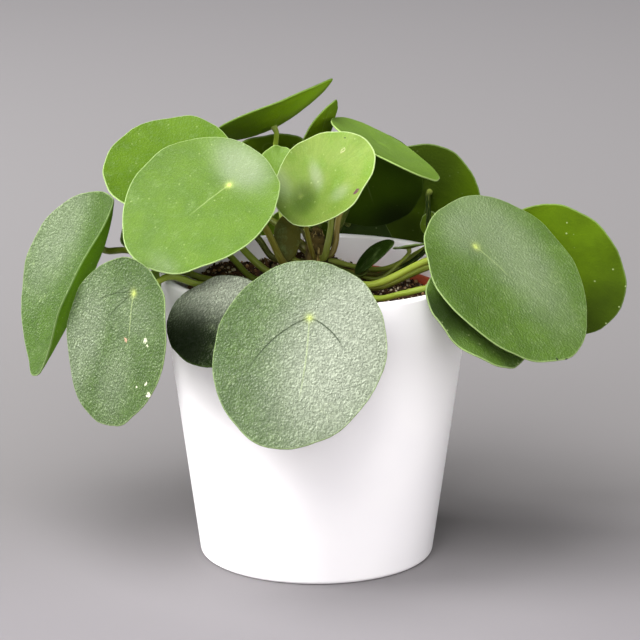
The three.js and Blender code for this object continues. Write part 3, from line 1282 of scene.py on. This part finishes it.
@dataclass
class Leaf:
    """One leaf: its blade and the stalk that carries it.

    Args:
        name: Its number.
        hub: Where the stalk meets the blade, in millimetres.
        face: The way the upper side looks: heading, nod from level, and spin of the tip.
        size: Length, width, and the share of the length behind the hub.
        tip: Narrowing toward the tip, and how far a point stands out there.
        form: Rise of the whole margin over the hub, then of the ends and of the sides.
        thick: The stalk's radius.
        stalk: The stalk's way from the stem to the blade.
        skin: The blade's finish.
        stalk_skin: The stalk's finish.
        patches: Painted sheen and painted shade, as soft pale and dark areas.
        ripple: Waving of the margin in millimetres.
        thickness: The blade's own.
        pucker: Unevenness of the blade in millimetres.
        eye: How pale the blade is over the stalk.
        rim: How strong the margin's tone is.
    """

    name: str
    hub: Point
    face: Point
    size: Point
    tip: Pair
    form: Point
    thick: float
    stalk: tuple[Point, ...]
    skin: Skin
    stalk_skin: StalkSkin
    patches: tuple[Patch, ...] = ()
    ripple: float = 0.5
    thickness: float = 0.8
    pucker: float = 0.2
    eye: float = 0.9
    rim: float = 0.42

    @property
    def phase(self) -> float:
        """Where the leaf's waves start, so that no two leaves wave alike."""
        return 2.4 * int(self.name)

    @property
    def grade(self) -> Grade:
        """How finely the blade is divided."""
        return next(grade for grade in Grade if self.size[0] > grade.value[2])

    def turn(self) -> np.ndarray:
        """Works out the leaf's turn.

        Returns:
            The turn that takes a level blade, with its tip along +X, to the leaf's own face.
        """
        turns = zip(self.face, "ZYZ")
        heading, nod, spin = (Matrix.Rotation(math.radians(a), 3, axis) for a, axis in turns)
        return np.array(heading @ nod @ spin)

    def outline(self, turn: np.ndarray) -> tuple[np.ndarray, np.ndarray]:
        """Draws the blade's outline, slightly waved and nicked.

        Args:
            turn: Angles from the tip.

        Returns:
            Places along and across the blade, in millimetres from the hub.
        """
        length, width, behind = self.size
        taper, point = self.tip
        phase = self.phase
        wobble = 1 + 0.006 * np.sin(7 * turn + phase) + 0.004 * np.sin(13 * turn + 2 * phase)
        nicks = [noise.noise(Vector((14 * math.cos(a), 14 * math.sin(a), phase))) for a in turn]
        wobble += 0.3 * np.array(nicks) / length
        along = (0.5 - behind) * length + length / 2 * np.cos(turn) * wobble
        along += point * np.maximum(np.cos(turn / 2), 0) ** 16
        across = width / 2 * np.sin(turn) * (1 - taper * np.cos(turn)) * wobble
        return along, across

    def rounded(
        self, share: np.ndarray, rim: np.ndarray, depth: np.ndarray, reach: np.ndarray,
    ) -> np.ndarray:
        """Draws the outermost rings in, so that the margin is round.

        Args:
            share: Distance of each corner from the blank's middle, 1 at its rim.
            rim: True for the corners of the rim.
            depth: Depth of each corner under the upper side, 1 at the under side.
            reach: The outline's distance from the hub in its direction, in millimetres.

        Returns:
            Distance of each corner from the hub, as a share of the outline's.
        """
        half = self.thickness / 2
        inset = half * (1 - np.sin(math.pi * np.clip(depth, 0, 1))) * rim
        crest = 1 - half / reach
        last = 1 - 1 / self.grade.value[1]
        inner = np.maximum(crest - CREST_GAP / reach, (crest + last) / 2)
        return np.where(np.isclose(share, CREST, atol=0.002), inner, share - inset / reach)

    def height(
        self, rise: np.ndarray, x: np.ndarray, y: np.ndarray, share: np.ndarray, turn: np.ndarray,
    ) -> np.ndarray:
        """Adds the waves, the unevenness and the dimple at the hub to the blade's form.

        Args:
            rise: Height that the form alone gives each corner, in millimetres over the hub.
            x: Its place along the blade in millimetres from the hub.
            y: Its place across it.
            share: Its distance from the blank's middle, 1 at the rim.
            turn: Its angle there.

        Returns:
            Height of the upper side at each corner.
        """
        waves = np.sin(5 * turn + self.phase) + 0.6 * np.sin(9 * turn + 2 * self.phase)
        places = (Vector((a, b, self.phase)) / 5.0 for a, b in zip(x, y))
        bumps = np.array([noise.fractal(place, 1.0, 2.2, 3) for place in places])
        z = rise + self.ripple * share ** 4 * waves
        z += self.pucker * bumps * np.clip(1.2 - share, 0, 1)
        return z - DIMPLE_DEPTH * np.exp(-((np.hypot(x, y) / DIMPLE_RADIUS) ** 2))

    def paint(
        self, mesh: bpy.types.Mesh, x: np.ndarray, y: np.ndarray, depth: np.ndarray,
        rim: np.ndarray,
    ) -> None:
        """Gives the blade's mesh what its skin reads.

        Args:
            mesh: The mesh.
            x: Places of its corners along the blade in millimetres from the hub.
            y: Their places across it.
            depth: Their depth under the upper side, 1 at the under side.
            rim: True for the corners of the rim.
        """
        below = (depth > 0.5).astype(float)
        # Pale patches are painted sheen, on the under side painted glow of light through the blade;
        # dark patches are painted shade.
        pale, dark = np.zeros_like(x), np.zeros_like(x)
        for patch in self.patches:
            mask = patch.mask(x, y) * (below if patch.under else 1 - below)
            if patch.pale > 0:
                pale = np.maximum(pale, mask)
            else:
                dark = np.maximum(dark, mask)
        radius = np.hypot(x, y)
        angle = np.arctan2(y, x)
        eye_radius = 0.5 + 0.4 * self.thick
        eye = self.eye * np.exp(-((radius / eye_radius) ** 1.3)) * (1 - below)
        edge = rim * self.rim * np.where(np.abs(depth - 0.5) < 0.3, 1.0, 0.8)
        carry(mesh, "disc", x, y, UNDER_SHIFT * below)
        carry(mesh, "marks", below, edge, eye)
        carry(mesh, "tones", pale, dark, np.zeros_like(x))
        carry(mesh, "rays", FOLDS * np.cos(angle), FOLDS * np.sin(angle), radius / FOLD_LENGTH)

    def blade(self, blank: bpy.types.Object) -> None:
        """Shapes the blade from a flat blank, dresses it and ties it to the frame.

        Args:
            blank: A flat closed disc of radius 1, with its under side at height -1.
        """
        piece = copy_of(blank, f"blade_{self.name}")
        flat = corners(piece.data)
        share = np.clip(np.hypot(flat[:, 0], flat[:, 1]), 0, 1)
        rim = share > (1 + CREST) / 2
        turn = np.arctan2(flat[:, 1], flat[:, 0])
        depth = -flat[:, 2]
        along, across = self.outline(turn)
        scale = self.rounded(share, rim, depth, np.hypot(along, across))
        x, y = along * scale, across * scale
        (length, width, _), (margin, ends, sides) = self.size, self.form
        rise = margin + ends * (along / (length / 2)) ** 2 + sides * (across / (width / 2)) ** 2
        z = self.height(scale * scale * rise, x, y, share, turn)
        z -= self.thickness * np.clip(depth, 0, 1)
        local = np.stack([x, y, z], axis=1)
        set_corners(piece.data, (local @ self.turn().T + self.hub) * MM)
        self.paint(piece.data, x, y, depth, rim)
        surface = self.skin.material(f"leaf_skin_{self.name}")
        hand_over(piece, surface, "leaf", f"leaf_{self.name}")

    def path(self) -> np.ndarray:
        """Draws the stalk's middle line, from inside the stem to inside the blade.

        Returns:
            Places on it, evenly spaced.
        """
        down = self.turn() @ np.array([0, 0, -1.0])
        hub = np.array(self.hub)
        under = hub + down * (self.thickness + 0.8)
        lead = hub + down * 3 * self.thick
        top = hub + down * 0.95
        way = [np.array(point, float) for point in self.stalk]
        root = way[0] * (0.55, 0.55, 1.0) - (0, 0, 0.6)
        line = smooth([root, *way, lead, (lead + under) / 2, top], STALK_STEPS)
        run = np.concatenate([[0], np.cumsum(np.linalg.norm(np.diff(line, axis=0), axis=1))])
        even = np.linspace(0, run[-1], max(16, int(run[-1] / STALK_SPACING)))
        return np.stack([np.interp(even, run, line[:, k]) for k in range(3)], axis=1)

    def petiole(self) -> None:
        """Draws the stalk as a tapered tube along its path, dresses it and ties it to the frame."""
        line = self.path()
        run = np.linspace(0, 1, len(line))
        length = np.linalg.norm(np.diff(line, axis=0), axis=1).sum()
        from_end = (1 - run) * length
        from_foot = run * length
        swell = 1.02 - 0.1 * run + 0.35 * np.exp(-from_foot / 3.5)
        swell += 0.35 * np.exp(-((from_end / 1.6) ** 2))
        swell += 0.035 * np.sin(from_foot / 3.1 + self.phase)
        name = f"petiole_{self.name}"
        curve = bpy.data.curves.new(name, "CURVE")
        curve.dimensions = "3D"
        curve.bevel_depth = self.thick * MM
        curve.bevel_resolution = 5
        curve.use_fill_caps = True
        spline = curve.splines.new("POLY")
        spline.points.add(len(line) - 1)
        for place, point, wide in zip(spline.points, line, swell):
            place.co = (*(point * MM), 1)
            place.radius = wide
        piece = bpy.data.objects.new(name, curve)
        bpy.context.collection.objects.link(piece)
        fresh()
        piece.select_set(True)
        bpy.context.view_layer.objects.active = piece
        bpy.ops.object.convert(target="MESH")
        piece = bpy.context.object
        piece.name = piece.data.name = name
        places = corners(piece.data) / MM
        nearest = np.argmin(((places[:, None, :] - line[None, :, :]) ** 2).sum(axis=2), axis=1)
        off_x, off_y, off_z = (places - line[nearest]).T
        along = run[nearest]
        carry(piece.data, "run", along, along, along)
        carry(piece.data, "grain", off_x * 2, off_y * 2 + off_z * 2, along * length / 6)
        surface = self.stalk_skin.material(f"stalk_skin_{self.name}")
        hand_over(piece, surface, "stalk", f"stalk_{self.name}")


# The stalks' finishes. SHADED and DIM are dark greens for stalks that lie in shade: painted shade.
YELLOW = StalkSkin(colour(124, 138, 42), colour(116, 124, 50))
BRIGHT = StalkSkin(colour(110, 126, 34), colour(112, 122, 46))
OLIVE = StalkSkin(colour(94, 106, 24), colour(88, 84, 30))
UMBER = StalkSkin(colour(112, 108, 34), colour(88, 74, 30))
TAN = StalkSkin(colour(144, 128, 58), colour(108, 92, 44))
SHADED = StalkSkin(colour(26, 42, 4), colour(92, 86, 34), 0.6, 0.1)
DIM = StalkSkin(colour(54, 66, 12), colour(56, 50, 16), 0.5, 0.15)

# Each leaf: its name, hub, face, size, tip, form and thick, then its stalk, skin, stalk_skin and
# patches. 01 to 23 show from -Y, the others stand behind.
LEAVES = (
    Leaf("01", (-38, -30, 175.5), (254, 41, -41), (71.5, 68.5, 0.28), (0.03, 1), (2, -3, 2), 1.6,
         ((-5.7, -2.7, 131.9), (-10.5, -6, 132), (-14.5, -8.5, 135), (-23, -15, 153.5)),
         Skin(Tone.LIGHT, 0.55, 0.5, shine=0.24), UMBER,
         (Patch((-10, -4), (10, 16), 0, 0.4), Patch((46, 14), (5, 10), 0, 0.12))),
    Leaf("02", (-62, 8.5, 178.4), (267, 31, -20), (64.5, 58, 0.38), (0, 0.5), (3.5, 1.5, 0), 1.6,
         ((-6.7, -1.2, 128.5), (-15, -5, 128.2), (-22, -6.5, 131.2), (-33, -3, 140.7)),
         Skin(Tone.LIGHT, 0.5, shine=0.1), BRIGHT),
    Leaf("03", (-98, 8, 138.5), (197, 66, -2), (86, 80, 0.28), (0.11, 2.5), (4, 0.5, 13.5), 1.6,
         ((-5.7, -3.6, 125.9), (-28, -14, 126.8), (-49, -15, 129.7), (-67, -10, 135.5),
          (-84, 2, 138.5)),
         Skin(Tone.FOLD, 0.8, shine=0.14), OLIVE,
         (Patch((0, -31), (36, 13), 0, 0.28), Patch((0, 20), (60, 40), 0, 0.6, True)), ripple=0.3),
    Leaf("04", (-78.5, -58, 134), (224, 77, -16), (72.5, 65, 0.19), (0, 2.5), (1, -2, 0.5), 1.6,
         ((-3.8, -5.6, 129.2), (-33, -27, 129.2), (-51.5, -38, 133), (-64, -47, 138.5)),
         Skin(Tone.DEEP, 1.0, 0.4, 0.2, shine=0.3, ribs=(
             Rib(20, 0, 24, 0.4), Rib(-70, 26, 30, -0.6), Rib(-34, 8, 26, -0.6),
             Rib(78, -14, 16, -0.2),
         ), scars=(
             Scar((19.8, 5.3), 1.1, Cork.TAN), Scar((14.2, 17), 1.2, Cork.PALE),
             Scar((15.6, 19), 0.8, Cork.PALE), Scar((30.9, 26), 0.8, Cork.PALE),
             Scar((33.7, 29.4), 1.2, Cork.PALE), Scar((34, 21), 0.5, Cork.PALE),
         )), BRIGHT,
         (Patch((30, -20), (28, 12), 0, 0.28), Patch((38, 5), (20, 10), 0, 0.16),
          Patch((8, 2), (12, 18), 0, 0.14))),
    Leaf("05", (-43.5, -66, 129.6), (243, 53, 22), (42.5, 46.5, 0.37), (0.07, 0), (-2, 0, 0.5), 1.4,
         ((-2.3, -6.4, 125.9), (-11, -23, 126.6), (-21, -38, 129), (-35.5, -58.5, 134)),
         Skin(Tone.DARK, 1.0, 0.2, 0, shine=0.08, ribs=()), OLIVE,
         (Patch((-8, 4), (15, 22), 0, 0.6), Patch((13, -14), (18, 15), 0, -1)), eye=0),
    Leaf("06", (-3, -86, 130.5), (259, 60, -13.5), (80.5, 73.5, 0.32), (0, 3), (-3.5, 0.5, 0.5),
         1.7, ((0, -6.4, 129.4), (-1.5, -38, 129), (-2.5, -66, 135.8)),
         Skin(Tone.DEEP, 1.0, 0.3, 0.2, shine=0.5, ribs=(
             Rib(17, -6, 40, 0.4), Rib(-52, 24, 42, -0.85), Rib(86, -42, 26, -0.85),
             Rib(44, -20, 22, -0.35), Rib(-12, -14, 16, -0.3),
         )), OLIVE,
         (Patch((8, 19), (46, 28), 0, 0.8), Patch((-15, -8), (13, 15), 0, 0.36),
          Patch((42, -15), (14, 14), 0, -0.1), Patch((-6, -30), (14, 9), 0, -0.1))),
    Leaf("07", (-7, -17, 167.5), (234, 54, 125), (48.5, 45.5, 0.21), (0.07, 2), (5.5, 0, 0.5), 1.1,
         ((-1.3, -6.2, 137.5), (-2.5, -8.5, 142), (-4.5, -12, 152)),
         Skin(Tone.PALE, 0.35, 0.5, shine=0.12, ribs=(), scars=(
             Scar((25.5, 10), 1.3, Cork.MOSS, True), Scar((28.1, 14), 0.5, Cork.DARK),
             Scar((27.5, -14.3), 1.6, Cork.PURPLE),
         )), UMBER,
         (Patch((1, -3.5), (8, 11), 0, -0.85), Patch((-6, -8), (17, 19), 0, -0.5),
          Patch((9.5, 5.5), (3, 7), 0, 0.35), Patch((19, -9), (5, 4), 0, 0.25),
          Patch((-7, 8), (4, 8), 0, 0.25)), eye=0.1),
    Leaf("08", (-20, 46, 187), (141, 34, 147), (64, 59, 0.29), (0.04, 1), (3.5, -2, 2), 1.3,
         ((-6.3, 0.6, 132.5), (-10.8, 1.5, 135), (-13.2, 3, 140), (-15.7, 12, 153), (-19, 35, 174)),
         Skin(Tone.FRESH, 0.4, shine=0.1), StalkSkin(colour(150, 172, 50), colour(116, 124, 50)),
         (Patch((25, 8), (20, 18), 0, 1, True),), ripple=0.1, rim=0.15),
    Leaf("09", (-20, 64, 165.7), (100, 52, 6.5), (47, 43, 0.35), (0.06, 1), (3.5, 0.5, 0), 1.4,
         ((-2.3, 5.3, 140), (-4.5, 10, 143), (-9, 28, 151)),
         Skin(Tone.DEEP, 0.4, shine=0.1), DIM, rim=0.2),
    Leaf("10", (1.5, 24, 186), (149, 69, 158), (27.5, 25, 0.29), (0.1, 3), (1.5, -2, 0), 1.4,
         ((3.4, -5.6, 137), (4.5, -6.5, 141.5), (6.4, -4, 153)),
         Skin(Tone.FRESH, 0.4, shine=0.1), YELLOW, ripple=0.1, rim=0.2),
    Leaf("11", (28.3, 22, 183.2), (0, 27.5, -80), (65, 54, 0.29), (0.04, 1), (2, 0.5, -1), 1.3,
         ((6.4, -0.7, 137.5), (8.4, -0.4, 142), (10, 4, 154)),
         Skin(Tone.LIME, 0.3, marks=0.1, shine=0.1, ribs=()), TAN,
         (Patch((0, 0), (48, 42), 0, 0.08),), ripple=0.1, eye=0, rim=0.5),
    Leaf("12", (52.5, 58, 153.5), (68, 77, 15.5), (58.5, 50, 0.4), (0.04, 1), (1.5, 0, -1), 1.2,
         ((6.5, 1.6, 129.5), (17, 3.4, 128), (29.8, 4.8, 126.9), (48.6, 18, 134.5), (51, 38, 144)),
         Skin(Tone.DEEP, 0.4, marks=0.1, shine=0.1), SHADED,
         (Patch((-10, 3), (27, 22), 0, -1, True), Patch((24, 6), (15, 22), 0, -1, True)),
         ripple=0.2, rim=0.2),
    Leaf("13", (-17.5, 5, 175.3), (262, 48, 180), (16.5, 16, 0.36), (0.05, 0.5), (1.5, 0, 1.5), 0.9,
         ((-3.2, 3.6, 145), (-7, 7, 151), (-12.5, 9, 162)),
         Skin(Tone.LIME, 0.4, marks=0, ribs=()), YELLOW, eye=0),
    Leaf("14", (69, -38, 150), (308, 47, 27.5), (84, 77.5, 0.27), (0.04, 2), (0, -2, 1), 1.7,
         ((4.7, -5, 129), (24, -20, 128.2), (48.6, -27, 140.8)),
         Skin(Tone.FRESH, 0.7, 0.8, 0.3, scars=(
             Scar((58.6, -14), 0.9, Cork.DARK), Scar((62, -10), 0.8, Cork.DARK),
         )), YELLOW,
         (Patch((12, 13), (40, 17), -12, 0.3), Patch((-8, 4), (14, 16), 0, 0.28),
          Patch((4, -26), (26, 12), 0, -0.3))),
    Leaf("15", (98.5, 18, 129.5), (78, 77, -54), (68, 66.5, 0.36), (0.08, 1), (0.5, 0, 0.5), 1.5,
         ((5.9, -3.3, 125.9), (15, -8, 125.6), (27, -12, 125.1), (48.6, -3, 131.7), (68, 4, 135)),
         Skin(Tone.DEEP, 0.4, 0.3, 1.0, shine=0.15), OLIVE,
         (Patch((38, 6), (14, 26), 0, -0.75, True), Patch((-8, 0), (26, 30), 0, 0.2, True)),
         rim=0.25),
    Leaf("16", (61, -54, 129), (328, 43, 25), (54, 49.5, 0.29), (0.09, 0), (-1.5, -0.5, 0), 1.4,
         ((2.5, -6.2, 125.9), (14, -22, 126.2), (27, -40, 127), (38, -46, 131), (51, -49.5, 133.7)),
         Skin(Tone.FRESH, 0.7, 0.3, 0.7), BRIGHT,
         (Patch((-6, -14), (17, 12), 0, -0.95),)),
    Leaf("17", (19.6, -6, 134), (193, 53, 160), (21, 17, 0.21), (0, 1.5), (0.5, -1.5, -0.5), 0.8,
         ((5.6, -2.4, 133.5), (12, -5.5, 131.6), (19, -8, 129.3), (22.6, -6.8, 131.2)),
         Skin(Tone.DARK, 0.2, 0.1, 0, shine=0.1, ribs=()), DIM,
         ripple=0, pucker=0.05, eye=0, rim=0.1),
    Leaf("18", (41, 6, 139.5), (120, 17, -90), (17, 15, 0.42), (0.05, 0.5), (0.5, 0, 0), 0.9,
         ((6.3, -1, 131.4), (17, -2, 128.4), (28, -3, 126.9), (36, -1, 132.5)),
         Skin(Tone.DEEP, 0.3, shine=0.1), OLIVE, ripple=0.1, pucker=0.05),
    Leaf("19", (20.5, 50, 167), (88, 63, -15.5), (56.5, 52.5, 0.34), (0.06, 0.5), (0.5, 0.5, 0),
         1.5, ((3.8, 4.4, 139), (7, 9, 142), (13, 24, 151)),
         Skin(Tone.DARK, 0.4, 0.3, 0.05, shine=0.1), DIM,
         (Patch((16, 2), (18, 20), 0, 0.5, True), Patch((36, -8), (13, 14), 0, -0.9, True))),
    Leaf("20", (15, 83, 134), (84, 76, -90), (50, 46, 0.3), (0.05, 1), (-2, 0, 0), 1.5,
         ((-0.2, 5.8, 137), (-3.5, 18, 138), (-2.5, 45, 137.5), (2, 64, 138), (10, 77, 137.5)),
         Skin(Tone.DARK, 0.4), DIM),
    Leaf("21", (59.5, 47, 136), (40, 62, 0), (36, 32, 0.35), (0.05, 1), (-1, 0, 0), 1.2,
         ((5.7, 2.9, 133.5), (17, 7, 130), (30, 12, 127.6), (47, 22, 133.5), (56, 37, 136.5)),
         Skin(Tone.FRESH, 0.4), BRIGHT),
    Leaf("22", (-13, -1.5, 149.5), (268, 82, 0), (20, 12, 0.3), (0.05, 1), (0.5, 0, 0.5), 0.7,
         ((-3, -0.4, 148.5), (-7, 2, 149.5)),
         Skin(Tone.OLIVE, 0.2, 0.2, 0, gloss=0.5, shine=0.15, ribs=()), DIM,
         ripple=0.1, eye=0, rim=0.1),
    Leaf("23", (1.5, 14, 148), (85, 70, 0), (12, 10, 0.3), (0.05, 1), (-1, 0, 0), 0.9,
         ((0.4, 4.9, 144), (1.2, 9, 147.6)),
         Skin(Tone.DEEP, 0.3), DIM),
    Leaf("24", (-62, 38, 156), (140, 40, 0), (54, 50, 0.28), (0.06, 1), (-1, -1, 0), 1.6,
         ((-5, 3.4, 139.5), (-9, 9, 142), (-24, 24, 149.5), (-44, 33, 153.5)),
         Skin(Tone.DEEP, 0.6), OLIVE),
    Leaf("25", (-46, 78, 124), (118, 68, 8), (56, 52, 0.28), (0.06, 2), (-2, -1, 0), 1.5,
         ((-5, 4.4, 132.5), (-12, 9.5, 132), (-19.5, 13, 132.4), (-27, 18, 141), (-41, 46, 141)),
         Skin(Tone.FRESH, 0.6), DIM),
    Leaf("26", (-7, 93, 126), (90, 78, -6), (54, 48, 0.28), (0.06, 2), (-2, -1, 0), 1.5,
         ((-3.1, 4.9, 136.5), (-9, 18, 138), (-11, 42, 137.5), (-12, 66, 138.5)),
         Skin(Tone.FRESH, 0.6), OLIVE),
    Leaf("27", (-60, 30, 140), (160, 55, -5), (50, 47, 0.3), (0.06, 1), (-1, -1, 0), 1.4,
         ((-6.5, 1.8, 126.6), (-17, -0.6, 126.4), (-27.5, -2, 126.4), (-38.7, 6, 134.9),
          (-50, 19, 140)),
         Skin(Tone.FRESH, 0.6), BRIGHT),
)


def flat_blank(grade: Grade) -> bpy.types.Object:
    """A flat closed disc of radius 1, from which blades are shaped.

    Args:
        grade: How finely it is divided.

    Returns:
        The disc: upper side at height 0, a rounded margin, and the under side at height -1.
    """
    sides, rings, _ = grade.value
    upper = [(i / rings, 0.0) for i in range(1, rings)] + [(CREST, 0.0), (1.0, 0.0)]
    margin = [(1.0, -0.25), (1.0, -0.5), (1.0, -0.75)]
    under = [(radius, -1.0) for radius, _ in reversed(upper)]
    outline = [(radius / MM, height / MM) for radius, height in (*upper, *margin, *under)]
    return turned(f"blank_{grade.name.lower()}", outline, sides)


@dataclass
class Foliage:
    """All the leaves.

    Args:
        leaves: The leaves, in the order in which they are made.
    """

    leaves: tuple[Leaf, ...] = LEAVES

    def build(self) -> None:
        """Makes one blank for each grade, then each leaf's blade from it, and its stalk."""
        blanks = {grade: flat_blank(grade) for grade in Grade}
        for leaf in self.leaves:
            leaf.blade(blanks[leaf.grade])
            leaf.petiole()
        for blank in blanks.values():
            drop(blank)


# The studio.


@dataclass(frozen=True)
class Lamp:
    """One square soft light, aimed at the plant.

    Args:
        name: Its name.
        heading: Where it stands, in degrees from +X.
        height: Its angle above the floor.
        distance: Its distance in metres.
        size: Its side in metres.
        power: Its power in watts.
    """

    name: str
    heading: float
    height: float
    distance: float
    size: float
    power: float

    def build(self) -> None:
        """Hangs the light."""
        lamp = bpy.data.lights.new(self.name, "AREA")
        lamp.shape = "SQUARE"
        lamp.size = self.size
        lamp.energy = self.power
        heading, height = math.radians(self.heading), math.radians(self.height)
        aim = Vector((0, 0, 0.1))
        level = math.cos(height)
        way = Vector((level * math.cos(heading), level * math.sin(heading), math.sin(height)))
        made = bpy.data.objects.new(self.name, lamp)
        made.location = aim + way * self.distance
        made.rotation_euler = (-way).to_track_quat("-Z", "Y").to_euler()
        bpy.context.collection.objects.link(made)


@dataclass
class Studio:
    """Pale floor with painted light falloff, soft lights and the camera.

    Args:
        target: What the camera looks at, in millimetres.
        distance: Its distance from there.
        elevation: Its angle above the floor, in degrees.
        lens: Its focal length in millimetres.
        sensor: Its sensor's width.
        half_width: Half the floor's width, in metres.
        paper: Tones of the floor in front of the pot, behind it, and far behind: painted shade just
            behind the pot, painted light far behind.
        room: Tone of the room round the lamps.
        glow: How strongly the room shines.
        lamps: The lamps.
    """

    target: Point = (1.5, 0.0, 107.0)
    distance: float = 1450.0
    elevation: float = 14.6
    lens: float = 182.25
    sensor: float = 36.0
    half_width: float = 4.0
    paper: tuple[Colour, ...] = (
        colour(124, 120, 123), colour(117, 114, 114), colour(194, 190, 192),
    )
    room: Colour = colour(205, 203, 206)
    glow: float = 0.1
    lamps: tuple[Lamp, ...] = (
        Lamp("left", 178, 12, 2.0, 1.07, 66.0),
        Lamp("key", 250, 48, 2.0, 1.4, 42.0),
        Lamp("high", 230, 66, 2.0, 1.4, 45.0),
        Lamp("front", 270, 12, 2.0, 1.4, 27.0),
        Lamp("right", 345, 12, 2.0, 1.4, 21.0),
    )

    def floor(self) -> None:
        """The floor: one wide sheet of pale paper, a little darker just behind the pot and much
        lighter far behind, as painted light falloff.
        """
        fresh()
        bpy.ops.mesh.primitive_plane_add(size=2 * self.half_width)
        sheet = bpy.context.object
        sheet.name = sheet.data.name = "studio_floor"
        book = NodeBook("studio_paper")
        _, depth, _ = book.parts(book.place)
        front, behind, far = self.paper
        # Painted light falloff: darker just behind the pot, much lighter far behind.
        painted_falloff = book.mix(book.ease(depth, -0.13, 0.12), front, behind)
        painted_falloff = book.mix((depth - 0.08) * 0.6, painted_falloff, far)
        sheet.data.materials.append(book.finish({"Base Color": painted_falloff, "Roughness": 0.8}))

    def light(self) -> None:
        """Soft lights and the pale room round them."""
        for lamp in self.lamps:
            lamp.build()
        world = bpy.data.worlds.new("studio_room")
        world.use_nodes = True
        ground = world.node_tree.nodes["Background"]
        ground.inputs["Color"].default_value = self.room
        ground.inputs["Strength"].default_value = self.glow
        bpy.context.scene.world = world

    def camera(self) -> None:
        """The camera at the height and distance from which the plant is first seen."""
        lens = bpy.data.cameras.new("camera")
        lens.lens = self.lens
        lens.sensor_width = self.sensor
        lens.clip_start = 0.05
        made = bpy.data.objects.new("camera", lens)
        tilt = math.radians(self.elevation)
        target = Vector(self.target) * MM
        made.location = target + Vector((0, -math.cos(tilt), math.sin(tilt))) * self.distance * MM
        made.rotation_euler = (target - made.location).to_track_quat("-Z", "Y").to_euler()
        bpy.context.collection.objects.link(made)
        bpy.context.scene.camera = made
        bpy.context.scene.view_settings.view_transform = "Standard"

    def build(self) -> None:
        """Sets up the studio."""
        self.floor()
        self.light()
        self.camera()


def main() -> None:
    """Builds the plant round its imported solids, piece by piece."""
    logging.basicConfig(level=logging.INFO, format="%(name)s %(message)s")
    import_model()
    Studio().build()
    CoverPot().build()
    GrowersPot().build()
    Soil().build()
    Stem().build()
    Foliage().build()


if __name__ == "__main__":
    main()
